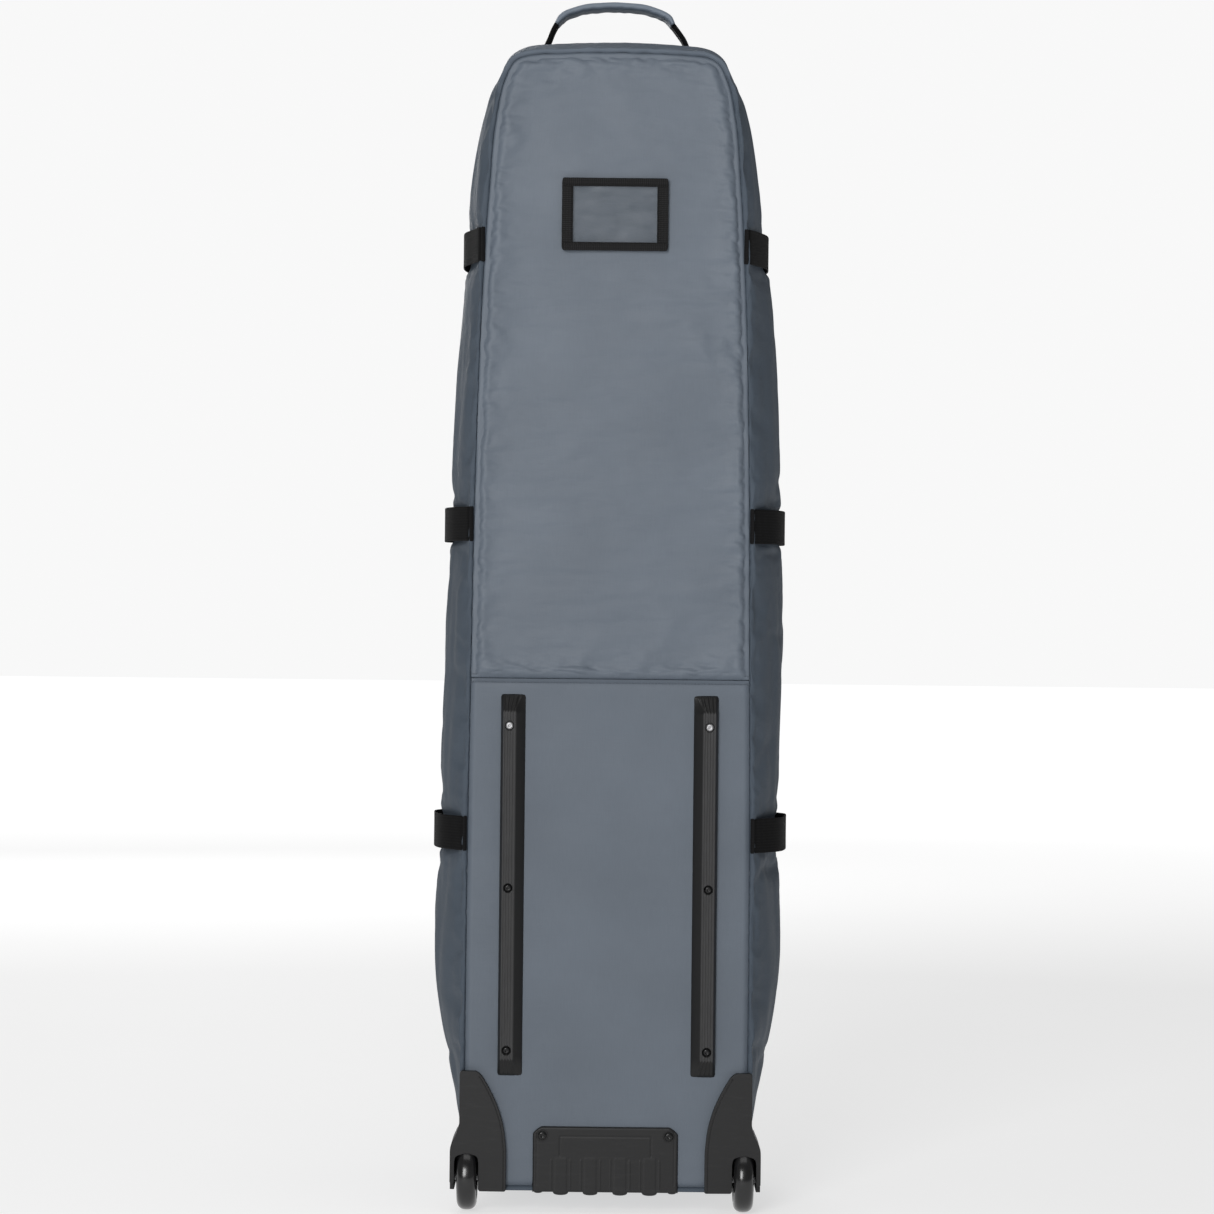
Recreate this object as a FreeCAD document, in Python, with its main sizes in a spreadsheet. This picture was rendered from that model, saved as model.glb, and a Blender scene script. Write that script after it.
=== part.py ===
import FreeCAD, Part
import os
import re
import Sketcher

# Golf travel case: an upright soft-sided case with two wheels at the lower back, skid rails on its
# back, a lid that opens on the front, three compression straps with side-release buckles, a top
# handle and a side handle. Millimetres, +Z up, -Y is the back (wheels and rails), +Y is the lid.
# The origin is on the ground, under the middle of the case's overall box.

doc = FreeCAD.newDocument("GolfTravelCase")

# ---------------------------------------------------------------- driving dimensions
DIMS = {
    # depth stations, along Y
    "back_y": -160, "belly_y": -48, "shoulder_y": 22, "rim_y": 105, "corner_y": 140, "front_y": 165,
    "wall": 9, "split_gap": 0.3, "lid_inset": 20,
    # wheels and their housings
    "wheel_radius": 36, "wheel_width": 22, "wheel_x": 152, "wheel_y": -146, "hub_radius": 24,
    "bearing_radius": 11, "axle_radius": 4, "running_gap": 0.05,
    "well_in": 139.5, "well_out": 164.5, "well_radius": 37.8, "block_in": 134.5, "block_out": 169,
    "block_front": -103, "block_top": 92, "housing_low": 23, "housing_proud": 8,
    # skid rails
    "rail_x": 106, "rail_width": 27, "rail_crest": 13.5, "rail_edge": 3, "rail_height": 12,
    "rail_low": 149.5, "rail_high": 568.5, "rail_ramp": 20, "rivet_radius": 4.2,
    "rivet_low": 178, "rivet_mid": 356, "rivet_high": 534,
    # kick plate on the lower back edge
    "kick_half": 80, "kick_low": 22, "kick_high": 94.5, "kick_thick": 4, "kick_chamfer": 10,
    "lobe_pitch": 32.5, "lobe_width": 14, "lobe_low": 18.2,
    # padded upper back panel
    "pad_low": 590, "pad_thick": 5, "pad_margin": 8,
    # stand feet under the lid side
    "foot_x": 95, "foot_half": 23, "foot_flare": 6, "foot_back": 56, "foot_front": 92,
    "case_low": 28,
    # identity window
    "id_half": 57.5, "id_low": 1056, "id_high": 1135, "id_side": 12.5, "id_edge": 9.5,
    "id_thick": 1.6, "film_thick": 0.6,
    # straps and buckles
    "strap_width": 38, "strap_thick": 2.4, "strap_in": 159.6, "strap_top_z": 1062,
    "strap_middle_z": 755, "strap_bottom_z": 415, "bow_top": 172.5, "bow_middle": 191,
    "bow_bottom": 196, "strap_end_y": 96,
    "buckle_in": 162.5, "buckle_thick": 12, "buckle_half": 25, "female_back": 58,
    "mouth_depth": 29, "prong_length": 26, "prong_in": 4.8, "prong_thick": 3, "slot_in": 3.6, "slot_out": 9.4, "male_length": 20,
    # top handle
    "handle_y": -20, "handle_leg_x": 78.5, "handle_top": 1352, "wrap_thick": 9, "wrap_width": 40,
    "webbing_width": 25, "webbing_thick": 6, "anchor_thick": 2, "top_z": 1296,
    # side handle
    "side_low": 850, "side_high": 990, "side_y": 50, "side_reach": 40, "side_x": 164,
    # zips and sliders
    "tape_thick": 1.1, "tape_width": 12, "slider_length": 24, "slider_width": 13,
    "slider_thick": 2.8, "upper_slider_z": 613, "lower_slider_z": 587, "pull_length": 46,
    "pocket_half": 115, "pocket_low": 446, "pocket_high": 724, "pocket_y": 176,
    "pocket_zip_z": 690,
}

# Half-width of the case at each height station, on the back seam, on the belly where the side
# gussets are widest, and on the lid. The top four stations dip towards the back seam.
HEIGHTS = [28, 62, 130, 185, 240, 400, 600, 800, 1010, 1125, 1215, 1260, 1284, 1296]
BACK = [118, 148, 155, 156, 156, 155.5, 153.5, 151, 145, 138.5, 130.5, 122, 106, 72]
BELLY = [118, 150, 169, 181, 191, 191.5, 188.5, 185, 172.5, 160.5, 147, 134, 120, 92]
LID = [125, 152, 158, 158, 158, 158, 158, 158, 158, 156, 145, 132, 118, 90]
DROP = [0] * 10 + [10, 22, 25, 28]
for number in range(len(HEIGHTS)):
    DIMS[f"level_{number}_z"] = HEIGHTS[number]
    DIMS[f"back_{number}_x"] = BACK[number]
    DIMS[f"belly_{number}_x"] = BELLY[number]
    DIMS[f"lid_{number}_x"] = LID[number]
    DIMS[f"drop_{number}_z"] = DROP[number]

sheet = doc.addObject("Spreadsheet::Sheet", "Dims")
for row, (alias, value) in enumerate(DIMS.items(), 1):
    sheet.set(f"A{row}", alias)
    sheet.set(f"B{row}", str(value))
    sheet.setAlias(f"B{row}", alias)
doc.recompute()


# ---------------------------------------------------------------- helpers
def bound(text):
    """An expression with each dimension's name written as a cell of the sheet."""
    return re.sub(r"[a-z][a-z_0-9]*", lambda m: f"Dims.{m[0]}" if m[0] in DIMS else m[0], str(text))


def value(text):
    return float(eval_number(bound(text)))


def eval_number(text):
    result = sheet.evalExpression(text)
    return result.Value if hasattr(result, "Value") else result


def new_body(label):
    body = doc.addObject("PartDesign::Body", label)
    body.Label = label
    return body


def place(obj, x="0", y="0", z="0"):
    for axis, text in zip("xyz", (x, y, z)):
        if str(text) != "0":
            obj.setExpression(f".Placement.Base.{axis}", bound(text))


def new_sketch(body, plane, offset):
    """A sketch parallel to an origin plane of its body: offset is z on XY, x on YZ, y on XZ."""
    sketch = body.newObject("Sketcher::SketchObject", "Sketch")
    origin = [f for f in body.Origin.OriginFeatures if f.Role == plane + "_Plane"][0]
    sketch.AttachmentSupport = [(origin, "")]
    sketch.MapMode = "FlatFace"
    sign = "-1" if plane == "XZ" else "1"
    sketch.setExpression("AttachmentOffset.Base.z", bound(f"{sign} * ({offset})"))
    return sketch


def fix_point(sketch, geometry, end, point):
    for kind, text in zip(("DistanceX", "DistanceY"), point):
        number = value(text)
        index = sketch.addConstraint(Sketcher.Constraint(kind, -1, 1, geometry, end, number))
        sketch.setExpression(f"Constraints[{index}]", bound(text))


def outline(body, plane, offset, points):
    """A closed polygon whose corners are held by the sheet."""
    sketch = new_sketch(body, plane, offset)
    corners = [FreeCAD.Vector(value(a), value(b), 0) for a, b in points]
    count = len(corners)
    for i in range(count):
        sketch.addGeometry(Part.LineSegment(corners[i], corners[(i + 1) % count]), False)
    for i in range(count):
        sketch.addConstraint(Sketcher.Constraint("Coincident", i, 2, (i + 1) % count, 1))
    for i, point in enumerate(points):
        fix_point(sketch, i, 1, point)
    return sketch


def circles(body, plane, offset, centres, radius):
    sketch = new_sketch(body, plane, offset)
    for a, b in centres:
        circle = Part.Circle(FreeCAD.Vector(value(a), value(b), 0), FreeCAD.Vector(0, 0, 1), value(radius))
        g = sketch.addGeometry(circle, False)
        fix_point(sketch, g, 3, (a, b))
        index = sketch.addConstraint(Sketcher.Constraint("Radius", g, value(radius)))
        sketch.setExpression(f"Constraints[{index}]", bound(radius))
    return sketch


def pad(body, sketch, length):
    feature = body.newObject("PartDesign::Pad", "Pad")
    feature.Profile = sketch
    feature.setExpression("Length", bound(length))
    doc.recompute()
    return feature


def pocket(body, sketch, length):
    """A cut that runs along the sketch's own normal."""
    before = body.Shape.Volume
    feature = body.newObject("PartDesign::Pocket", "Pocket")
    feature.Profile = sketch
    feature.Reversed = True
    feature.setExpression("Length", bound(length))
    doc.recompute()
    if not body.Shape.Volume < before - 1e-3:
        raise RuntimeError(f"{body.Label}: a pocket cut nothing")
    return feature


def loft(body, sketches, cut=False):
    kind = "PartDesign::SubtractiveLoft" if cut else "PartDesign::AdditiveLoft"
    feature = body.newObject(kind, "Loft")
    feature.Profile = sketches[0]
    feature.Sections = [(s, [""]) for s in sketches[1:]]
    feature.Ruled = True
    doc.recompute()
    return feature


def revolve(body, sketch):
    feature = body.newObject("PartDesign::Revolution", "Revolution")
    feature.Profile = sketch
    feature.ReferenceAxis = (sketch, ["H_Axis"])
    feature.Angle = 360
    doc.recompute()
    return feature


def rectangle(a0, b0, a1, b1):
    return [(a0, b0), (a1, b0), (a1, b1), (a0, b1)]


def block(body, x0, x1, y0, y1, z0, z1):
    """A box between two corners, padded up from its lower face."""
    return pad(body, outline(body, "XY", z0, rectangle(x0, y0, x1, y1)), f"({z1}) - ({z0})")


def cut_block(body, x0, x1, y0, y1, z0, z1):
    return pocket(body, outline(body, "XY", z0, rectangle(x0, y0, x1, y1)), f"({z1}) - ({z0})")


def prism_y(body, points, y0, y1):
    """An outline in X and Z, padded from y1 back to y0."""
    return pad(body, outline(body, "XZ", y1, points), f"({y1}) - ({y0})")


def prism_x(body, points, x0, x1):
    return pad(body, outline(body, "YZ", x0, points), f"({x1}) - ({x0})")


def prism_z(body, points, z0, z1):
    return pad(body, outline(body, "XY", z0, points), f"({z1}) - ({z0})")


def group(label, solids):
    """Several like pieces kept in one file."""
    compound = doc.addObject("Part::Compound", label)
    compound.Label = label
    compound.Links = solids
    return compound


def box(x0, x1, y0, y1, z0, z1):
    item = doc.addObject("Part::Box", "Box")
    place(item, x0, y0, z0)
    item.setExpression("Length", bound(f"({x1}) - ({x0})"))
    item.setExpression("Width", bound(f"({y1}) - ({y0})"))
    item.setExpression("Height", bound(f"({z1}) - ({z0})"))
    return item


def peg_y(x, z, y0, y1, radius):
    """A cylinder along Y from y0 to y1."""
    item = doc.addObject("Part::Cylinder", "Cylinder")
    item.Placement = FreeCAD.Placement(FreeCAD.Vector(0, 0, 0), FreeCAD.Rotation(FreeCAD.Vector(1, 0, 0), -90))
    item.setExpression("Radius", bound(radius))
    item.setExpression("Height", bound(f"({y1}) - ({y0})"))
    place(item, x, y0, z)
    return item


SIDES = (("left", -1), ("right", 1))
nodes = []


def keep(obj):
    nodes.append(obj)
    return obj


def case_outline(kind, grow="0", lift="0", dip=False):
    """The case's whole outline seen from the back, at one depth: up the right side, down the left."""
    last = len(HEIGHTS) - 1
    right = []
    for i in range(last + 1):
        x = f"{kind}_{i}_x + ({grow})"
        z = f"level_{i}_z"
        if dip:
            z += f" - drop_{i}_z"
        if i == 0:
            z += f" - ({lift})"
        elif i == 1:
            z += f" - 0.5 * ({lift})"
        elif i == last - 2:
            z += f" + 0.6 * ({lift})"
        elif i > last - 2:
            z += f" + ({lift})"
        right.append((x, z))
    left = [(f"-1 * ({x})", z) for x, z in reversed(right)]
    return right + left


# ---------------------------------------------------------------- case: soft tub and what is on it
shell = keep(new_body("rear_shell"))
loft(shell, [outline(shell, "XZ", "back_y", case_outline("back", dip=True)),
             outline(shell, "XZ", "belly_y", case_outline("belly")),
             outline(shell, "XZ", "shoulder_y", case_outline("lid")),
             outline(shell, "XZ", "rim_y - split_gap / 2", case_outline("lid"))])
loft(shell, [outline(shell, "XZ", "back_y + wall", case_outline("back", "-wall", "-wall", dip=True)),
             outline(shell, "XZ", "belly_y", case_outline("belly", "-wall", "-wall")),
             outline(shell, "XZ", "shoulder_y", case_outline("lid", "-wall", "-wall")),
             outline(shell, "XZ", "rim_y + 5", case_outline("lid", "-wall", "-wall"))], cut=True)
for side, s in SIDES:
    a, b = ("block_in", "220") if s > 0 else ("-220", "-block_in")
    cut_block(shell, a, b, "back_y - 5", "block_front", "0", "block_top")

# Padded upper back panel, its edge a margin inside the back seam.
pad_edge = [("back_6_x - pad_margin", "pad_low")]
pad_edge += [(f"back_{i}_x - pad_margin", f"level_{i}_z - drop_{i}_z") for i in range(7, 12)]
pad_edge += [("back_12_x - pad_margin", "level_12_z - drop_12_z - 4"),
             ("back_13_x - pad_margin / 2", "level_13_z - drop_13_z - pad_margin")]
panel = keep(new_body("back_pad"))
prism_y(panel, pad_edge + [(f"-1 * ({x})", z) for x, z in reversed(pad_edge)], "back_y - pad_thick", "back_y")

stiffener = keep(new_body("back_stiffener"))
block(stiffener, "-135", "135", "back_y + wall", "back_y + wall + 2", "110", "590")

board = keep(new_body("base_board"))
block(board, "-108", "108", "back_y + wall + 3", "rim_y - 10", "case_low + wall", "case_low + wall + 4")

foam = keep(new_body("top_foam_pad"))
prism_x(foam, [("back_y + wall + 1", "1215"), ("rim_y - 5", "1215"), ("rim_y - 5", "top_z - wall - 0.5"),
               ("belly_y", "top_z - wall - 0.5"), ("back_y + wall + 1", "top_z - 28 - wall - 0.5")],
        "-60", "60")

keep(group("cinch_straps", [
    box("-130", "130", "back_y + wall + 2", "back_y + wall + 4.2", "381", "419"),
    box("-130", "130", "back_y + wall", "back_y + wall + 2.2", "881", "919")]))
keep(group("cinch_buckles", [
    box("30", "85", "back_y + wall + 4.2", "back_y + wall + 13", "377", "423"),
    box("30", "85", "back_y + wall + 2.2", "back_y + wall + 11", "877", "923")]))

# Skid rails: a flat crest near the outer edge, a wide slope on the inner side, ramped ends.
for side, s in SIDES:
    rail = keep(new_body(f"skid_rail_{side}"))

    def rail_section(height, rise):
        outer, inner = "rail_x + rail_width / 2", "rail_x - rail_width / 2"
        crest_out = "rail_x + rail_width / 2 - rail_edge"
        crest_in = "rail_x + rail_width / 2 - rail_edge - rail_crest"
        points = [(inner, "back_y"), (outer, "back_y"), (outer, "back_y - 2"),
                  (crest_out, f"back_y - {rise}"), (crest_in, f"back_y - {rise}"), (inner, "back_y - 2")]
        return outline(rail, "XY", height, [(f"{s} * ({x})", y) for x, y in points])

    loft(rail, [rail_section("rail_low", "3"), rail_section("rail_low + rail_ramp", "rail_height"),
                rail_section("rail_high - rail_ramp", "rail_height"), rail_section("rail_high", "3")])
    crest = f"{s} * (rail_x + rail_width / 2 - rail_edge - rail_crest / 2)"
    pocket(rail, circles(rail, "XZ", "back_y - rail_height + 3.5",
                         [(crest, "rivet_low"), (crest, "rivet_mid"), (crest, "rivet_high")],
                         "rivet_radius + 0.8"), "5")
keep(group("rail_rivets", [
    peg_y(f"{s} * (rail_x + rail_width / 2 - rail_edge - rail_crest / 2)", z,
          "back_y - rail_height + 0.7", "back_y - rail_height + 3.5", "rivet_radius")
    for _, s in SIDES for z in ("rivet_low", "rivet_mid", "rivet_high")]))

# Wheel housings: a shield on the back panel, and a moulded block with the wheel well.
for side, s in SIDES:
    housing = keep(new_body(f"wheel_housing_{side}"))
    shield = [("106.5", "housing_low"), ("block_out", "housing_low"), ("block_out", "66"), ("170.4", "67"),
              ("169.5", "78"), ("160.5", "96"), ("160.5", "155"), ("139", "155"), ("135", "150.5"),
              ("128", "139.5"), ("118.5", "123"), ("112", "107.5"), ("108", "92"), ("106.5", "72")]
    prism_y(housing, [(f"{s} * ({x})", z) for x, z in shield], "back_y - housing_proud", "back_y")
    ends = ("block_in", "block_out") if s > 0 else ("-block_out", "-block_in")
    block(housing, *ends, "back_y", "block_front", "housing_low", "block_top")
    start = "well_in" if s > 0 else "-well_out"
    width = "well_out - well_in"
    pocket(housing, circles(housing, "YZ", start, [("wheel_y", "wheel_radius")], "well_radius"), width)
    pocket(housing, outline(housing, "YZ", start, rectangle(
        "wheel_y - well_radius", "-5", "wheel_y + well_radius", "wheel_radius")), width)
    bolt = "block_in" if s > 0 else "-block_out"
    pocket(housing, circles(housing, "YZ", bolt, [("wheel_y", "wheel_radius")], "axle_radius"),
           "block_out - block_in")

    axle = keep(new_body(f"axle_{side}"))
    pad(axle, circles(axle, "YZ", bolt, [("wheel_y", "wheel_radius")], "axle_radius"), "block_out - block_in")
    head = "block_out" if s > 0 else "-block_out - 2.2"
    pad(axle, circles(axle, "YZ", head, [("wheel_y", "wheel_radius")], "axle_radius + 3"), "2.2")

# Wheels: a cast tyre on a moulded core with two ball bearings.
def turned(label, profile, side):
    body = keep(new_body(label))
    revolve(body, outline(body, "XY", "0", profile))
    place(body, f"{side} * wheel_x", "wheel_y", "wheel_radius")
    return body


for side, s in SIDES:
    half, rim, r = "wheel_width / 2", "hub_radius", "wheel_radius"
    turned(f"tyre_{side}", [
        (f"-{half}", rim), (f"-{half}", f"{r} - 6.5"), (f"-{half} + 1.5", f"{r} - 3.4"),
        (f"-{half} + 4.5", f"{r} - 1"), (f"-{half} + 8.5", r), (f"{half} - 8.5", r),
        (f"{half} - 4.5", f"{r} - 1"), (f"{half} - 1.5", f"{r} - 3.4"), (half, f"{r} - 6.5"), (half, rim)], s)
    turned(f"hub_{side}", [
        ("-9.5", "bearing_radius"), ("-9.5", "bearing_radius + 3"), ("-4", "bearing_radius + 4"),
        ("-4", "hub_radius - 3"), ("-9.5", "hub_radius - 2"), ("-9.5", "hub_radius"),
        ("9.5", "hub_radius"), ("9.5", "hub_radius - 2"), ("4", "hub_radius - 3"),
        ("4", "bearing_radius + 4"), ("9.5", "bearing_radius + 3"), ("9.5", "bearing_radius")], s)
    rings = []
    for x in ("-9.5", "2.5"):
        ring = new_body(f"bearing_{side}_{'outer' if x[0] == '-' else 'inner'}")
        revolve(ring, outline(ring, "XY", "0", rectangle(
            x, "axle_radius + running_gap", f"{x} + 7", "bearing_radius")))
        place(ring, f"{s} * wheel_x", "wheel_y", "wheel_radius")
        rings.append(ring)
    keep(group(f"bearings_{side}", rings))

# Kick plate: a moulded guard on the back panel that wraps under the lower edge, with four lobes.
kick = keep(new_body("kick_plate"))
prism_y(kick, [("-kick_half", "kick_low"), ("kick_half", "kick_low"), ("kick_half", "kick_high - kick_chamfer"),
               ("kick_half - kick_chamfer", "kick_high"), ("-kick_half + kick_chamfer", "kick_high"),
               ("-kick_half", "kick_high - kick_chamfer")], "back_y - kick_thick", "back_y")
block(kick, "-kick_half", "kick_half", "back_y", "back_y + 34", "kick_low", "case_low")
for n in ("-1.5", "-0.5", "0.5", "1.5"):
    mid = f"{n} * lobe_pitch"
    low = "lobe_low"
    prism_y(kick, [(f"{mid} - lobe_width / 2", "56"), (f"{mid} - lobe_width / 2", f"{low} + 3.5"),
                   (f"{mid} - lobe_width / 2 + 3.5", low), (f"{mid} + lobe_width / 2 - 3.5", low),
                   (f"{mid} + lobe_width / 2", f"{low} + 3.5"), (f"{mid} + lobe_width / 2", "56")],
            "back_y - kick_thick - 1.6", "back_y - kick_thick")
    block(kick, f"{mid} - lobe_width / 2 + 3.5", f"{mid} + lobe_width / 2 - 3.5",
          "back_y - kick_thick", "back_y + 12", low, "kick_low")
keep(group("kick_plate_rivets", [
    peg_y(f"{s} * 69.5", "84.5", "back_y - kick_thick - 2.4", "back_y - kick_thick", "rivet_radius + 0.4")
    for _, s in SIDES]))

# Stand feet, level with the wheels, under the lid side.
for side, s in SIDES:
    foot = keep(new_body(f"front_foot_{side}"))
    profile = [("foot_x - foot_half", "0"), ("foot_x + foot_half", "0"),
               ("foot_x + foot_half + foot_flare", "case_low"), ("foot_x - foot_half - foot_flare", "case_low")]
    prism_y(foot, [(f"{s} * ({x})", z) for x, z in profile], "foot_back", "foot_front")

# Identity window: a webbing frame with a clear film.
frame = keep(new_body("id_window_frame"))
prism_y(frame, rectangle("-id_half", "id_low", "id_half", "id_high"),
        "back_y - pad_thick - id_thick", "back_y - pad_thick")
pocket(frame, outline(frame, "XZ", "back_y - pad_thick", rectangle(
    "-id_half + id_side", "id_low + id_edge", "id_half - id_side", "id_high - id_edge")), "id_thick + 1")
film = keep(new_body("id_window_film"))
prism_y(film, rectangle("-id_half + id_side", "id_low + id_edge", "id_half - id_side", "id_high - id_edge"),
        "back_y - pad_thick - film_thick", "back_y - pad_thick")

# Zip tapes: a band round the rim of the case and one round the rim of the lid.
def rim_band(label, y0, y1):
    band = keep(new_body(label))
    prism_y(band, case_outline("lid", "tape_thick", "tape_thick"), y0, y1)
    pocket(band, outline(band, "XZ", y1, case_outline("lid")), f"({y1}) - ({y0})")
    return band


rim_band("case_zip_tape", "rim_y - tape_width", "rim_y - split_gap / 2")
rim_band("lid_zip_tape", "rim_y + split_gap / 2", "rim_y + tape_width")

# Compression straps on the case: sewn at the back seam, bowed over the belly, on to the rim.
STRAPS = (("top", "strap_top_z", "bow_top", "144"), ("middle", "strap_middle_z", "bow_middle", "152.6"),
          ("bottom", "strap_bottom_z", "bow_bottom", "156.8"))


def strap_points(s, bow, seam, end):
    t = "strap_thick"
    inner = [(seam, "back_y + 1"), (bow + " - 5", "back_y + 55"), (bow, "belly_y - 12"), (bow, "belly_y + 8"),
             ("strap_in", "shoulder_y + 3"), ("strap_in", end)]
    outer = [(f"{x} + {t}", y) for x, y in reversed(inner)]
    return [(f"{s} * ({x})", y) for x, y in inner + outer]


for name, z, bow, seam in STRAPS:
    runs = []
    for side, s in SIDES:
        run = new_body(f"strap_{name}_{side}_run")
        end = "rim_y - 0.3" if s < 0 else "strap_end_y"
        prism_z(run, strap_points(s, bow, seam, end), f"{z} - strap_width / 2", f"{z} + strap_width / 2")
        runs.append(run)
    keep(group(f"case_strap_{name}", runs))

# Top handle: two sewn patches, webbing legs and a padded wrap. The legs narrow at the fold line.
keep(group("handle_anchors", [
    box("64", "90", "handle_y - 13", "handle_y + 13", "top_z", "top_z + anchor_thick"),
    box("-90", "-64", "handle_y - 13", "handle_y + 13", "top_z", "top_z + anchor_thick")]))
legs = []
for side, s in SIDES:
    leg = new_body(f"handle_leg_{side}")

    def leg_outline(low, high):
        lean = "14.3 / 25.5"
        x0 = f"handle_leg_x - ({low} - top_z - 4) * {lean}"
        x1 = f"handle_leg_x - ({high} - top_z - 4) * {lean}"
        half = "webbing_thick / 2"
        return [(f"{s} * ({x})", z) for x, z in ((f"{x0} - {half}", low), (f"{x0} + {half}", low),
                                                 (f"{x1} + {half}", high), (f"{x1} - {half}", high))]

    prism_y(leg, leg_outline("top_z + 5", "top_z + 18"), "handle_y - 4", "handle_y + 4")
    prism_y(leg, leg_outline("top_z + 18", "top_z + 29.5"),
            "handle_y - webbing_width / 2", "handle_y + webbing_width / 2")
    legs.append(leg)
keep(group("top_handle_webbing", legs))
wrap = keep(new_body("top_handle_wrap"))
arc_out = [("68.5", "top_z + 29.5"), ("64", "top_z + 38.5"), ("52", "top_z + 47"), ("32", "top_z + 54"),
           ("12", "handle_top")]
arc_in = [("12", "handle_top - wrap_thick"), ("30", "handle_top - wrap_thick - 2"),
          ("47", "handle_top - wrap_thick - 8"), ("56.5", "handle_top - wrap_thick - 14"),
          ("60", "top_z + 29.5")]
prism_y(wrap, arc_out + [(f"-{x}", z) for x, z in reversed(arc_out)]
        + [(f"-{x}", z) for x, z in reversed(arc_in)] + arc_in,
        "handle_y - wrap_width / 2", "handle_y + wrap_width / 2")

# Side handle on the right side, folded flat against the case.
keep(group("side_handle_anchors", [
    box("lid_7_x", "lid_7_x + 2", "side_y - 9", "side_y + 9", "side_low + 1", "side_low + 17"),
    box("lid_7_x", "lid_7_x + 2", "side_y - 9", "side_y + 9", "side_high - 17", "side_high - 1")]))
grip = keep(new_body("side_handle"))
prism_x(grip, [("side_y - 2", "side_low"), ("side_y + side_reach - 4", "side_low"),
               ("side_y + side_reach", "side_low + 6"), ("side_y + side_reach", "side_high - 6"),
               ("side_y + side_reach - 4", "side_high"), ("side_y - 2", "side_high"),
               ("side_y - 2", "side_high - 16"), ("side_y + side_reach - 12", "side_high - 20"),
               ("side_y + side_reach - 12", "side_low + 20"), ("side_y - 2", "side_low + 16")],
        "side_x - 3", "side_x + 3")

# ---------------------------------------------------------------- lid
lid = keep(new_body("front_lid"))
loft(lid, [outline(lid, "XZ", "rim_y + split_gap / 2", case_outline("lid")),
           outline(lid, "XZ", "corner_y", case_outline("lid")),
           outline(lid, "XZ", "front_y", case_outline("lid", "-lid_inset", "-lid_inset"))])
loft(lid, [outline(lid, "XZ", "rim_y - 5", case_outline("lid", "-wall", "-wall")),
           outline(lid, "XZ", "corner_y - 2", case_outline("lid", "-wall", "-wall")),
           outline(lid, "XZ", "front_y - wall",
                   case_outline("lid", "-lid_inset - wall * 0.6", "-lid_inset - wall * 0.6"))], cut=True)

for name, z, bow, seam in STRAPS:
    t = "strap_thick"
    start = "rim_y + 0.3"
    inner = [("strap_in", start), ("strap_in", "corner_y + 1"), ("strap_in - lid_inset", "front_y + 1")]
    outer = [(f"strap_in + {t}", start), (f"strap_in + {t}", "corner_y + 1.8"),
             (f"strap_in - lid_inset + 1", f"front_y + 1 + {t}")]
    run = [(f"-1 * ({x})", y) for x, y in inner]
    back = [(f"-1 * ({x})", y) for x, y in reversed(outer)]
    right_in = [("strap_in - lid_inset", "front_y + 1"), ("strap_in", "corner_y + 1"), ("strap_in", "rim_y + 9")]
    right_out = [(f"strap_in + {t}", "rim_y + 9"), (f"strap_in + {t}", "corner_y + 1.8"),
                 ("strap_in - lid_inset + 1", f"front_y + 1 + {t}")]
    strap = keep(new_body(f"lid_strap_{name}"))
    prism_z(strap, run + right_in + right_out + back, f"{z} - strap_width / 2", f"{z} + strap_width / 2")

# Side-release buckles: the pronged half rides on the lid, the socket half on the case's webbing.
for name, z, bow, seam in STRAPS:
    top, low = f"{z} + buckle_half", f"{z} - buckle_half"
    inside, outside = "buckle_in", "buckle_in + buckle_thick"
    male = keep(new_body(f"buckle_male_{name}"))
    face = "rim_y + 0.3"
    prism_x(male, [(face, low), (f"{face} + male_length - 5", low), (f"{face} + male_length", f"{low} + 5"),
                   (f"{face} + male_length", f"{top} - 5"), (f"{face} + male_length - 5", top), (face, top)],
            inside, outside)
    prong = ("buckle_in + prong_in", "buckle_in + prong_in + prong_thick")
    for n in ("-1", "1"):
        root, edge, tip = f"{z} + {n} * 11", f"{z} + {n} * 16", f"{z} + {n} * 19"
        prism_x(male, [(face, root), (face, edge), (f"{face} - 9", edge), (f"{face} - 10", tip),
                       (f"{face} - 20", tip), (f"{face} - prong_length", f"{z} + {n} * 14"),
                       (f"{face} - prong_length", f"{z} + {n} * 11"), (f"{face} - 20", root)], *prong)
    block(male, *prong, f"{face} - 22", face, f"{z} - 3.5", f"{z} + 3.5")
    cut_block(male, inside + " - 1", outside + " + 1", f"{face} + 9", f"{face} + 12.5",
              f"{z} - 20", f"{z} + 20")

    female = keep(new_body(f"buckle_female_{name}"))
    mouth = "rim_y - 0.3"
    prism_x(female, [("female_back", f"{low} + 4"), ("female_back + 4", low), ("female_back + 14", low),
                     ("female_back + 20", f"{low} + 1"), (mouth, low), (mouth, top),
                     ("female_back + 20", f"{top} - 1"), ("female_back + 14", top),
                     ("female_back + 4", top), ("female_back", f"{top} - 4")], inside, outside)
    cut_block(female, "buckle_in + slot_in", "buckle_in + slot_out",
              f"{mouth} - mouth_depth", mouth + " + 1", f"{z} - 20", f"{z} + 20")
    for n, start in (("-1", f"{z} - buckle_half - 1"), ("1", f"{z} + 19.9")):
        cut_block(female, "buckle_in + slot_in", "buckle_in + slot_out",
                  f"{mouth} - 21", f"{mouth} - 9", start, f"{start} + 6.1")
    cut_block(female, inside + " - 1", outside + " + 1", "female_back + 4", "female_back + 8",
              f"{z} - 20", f"{z} + 20")

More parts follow.
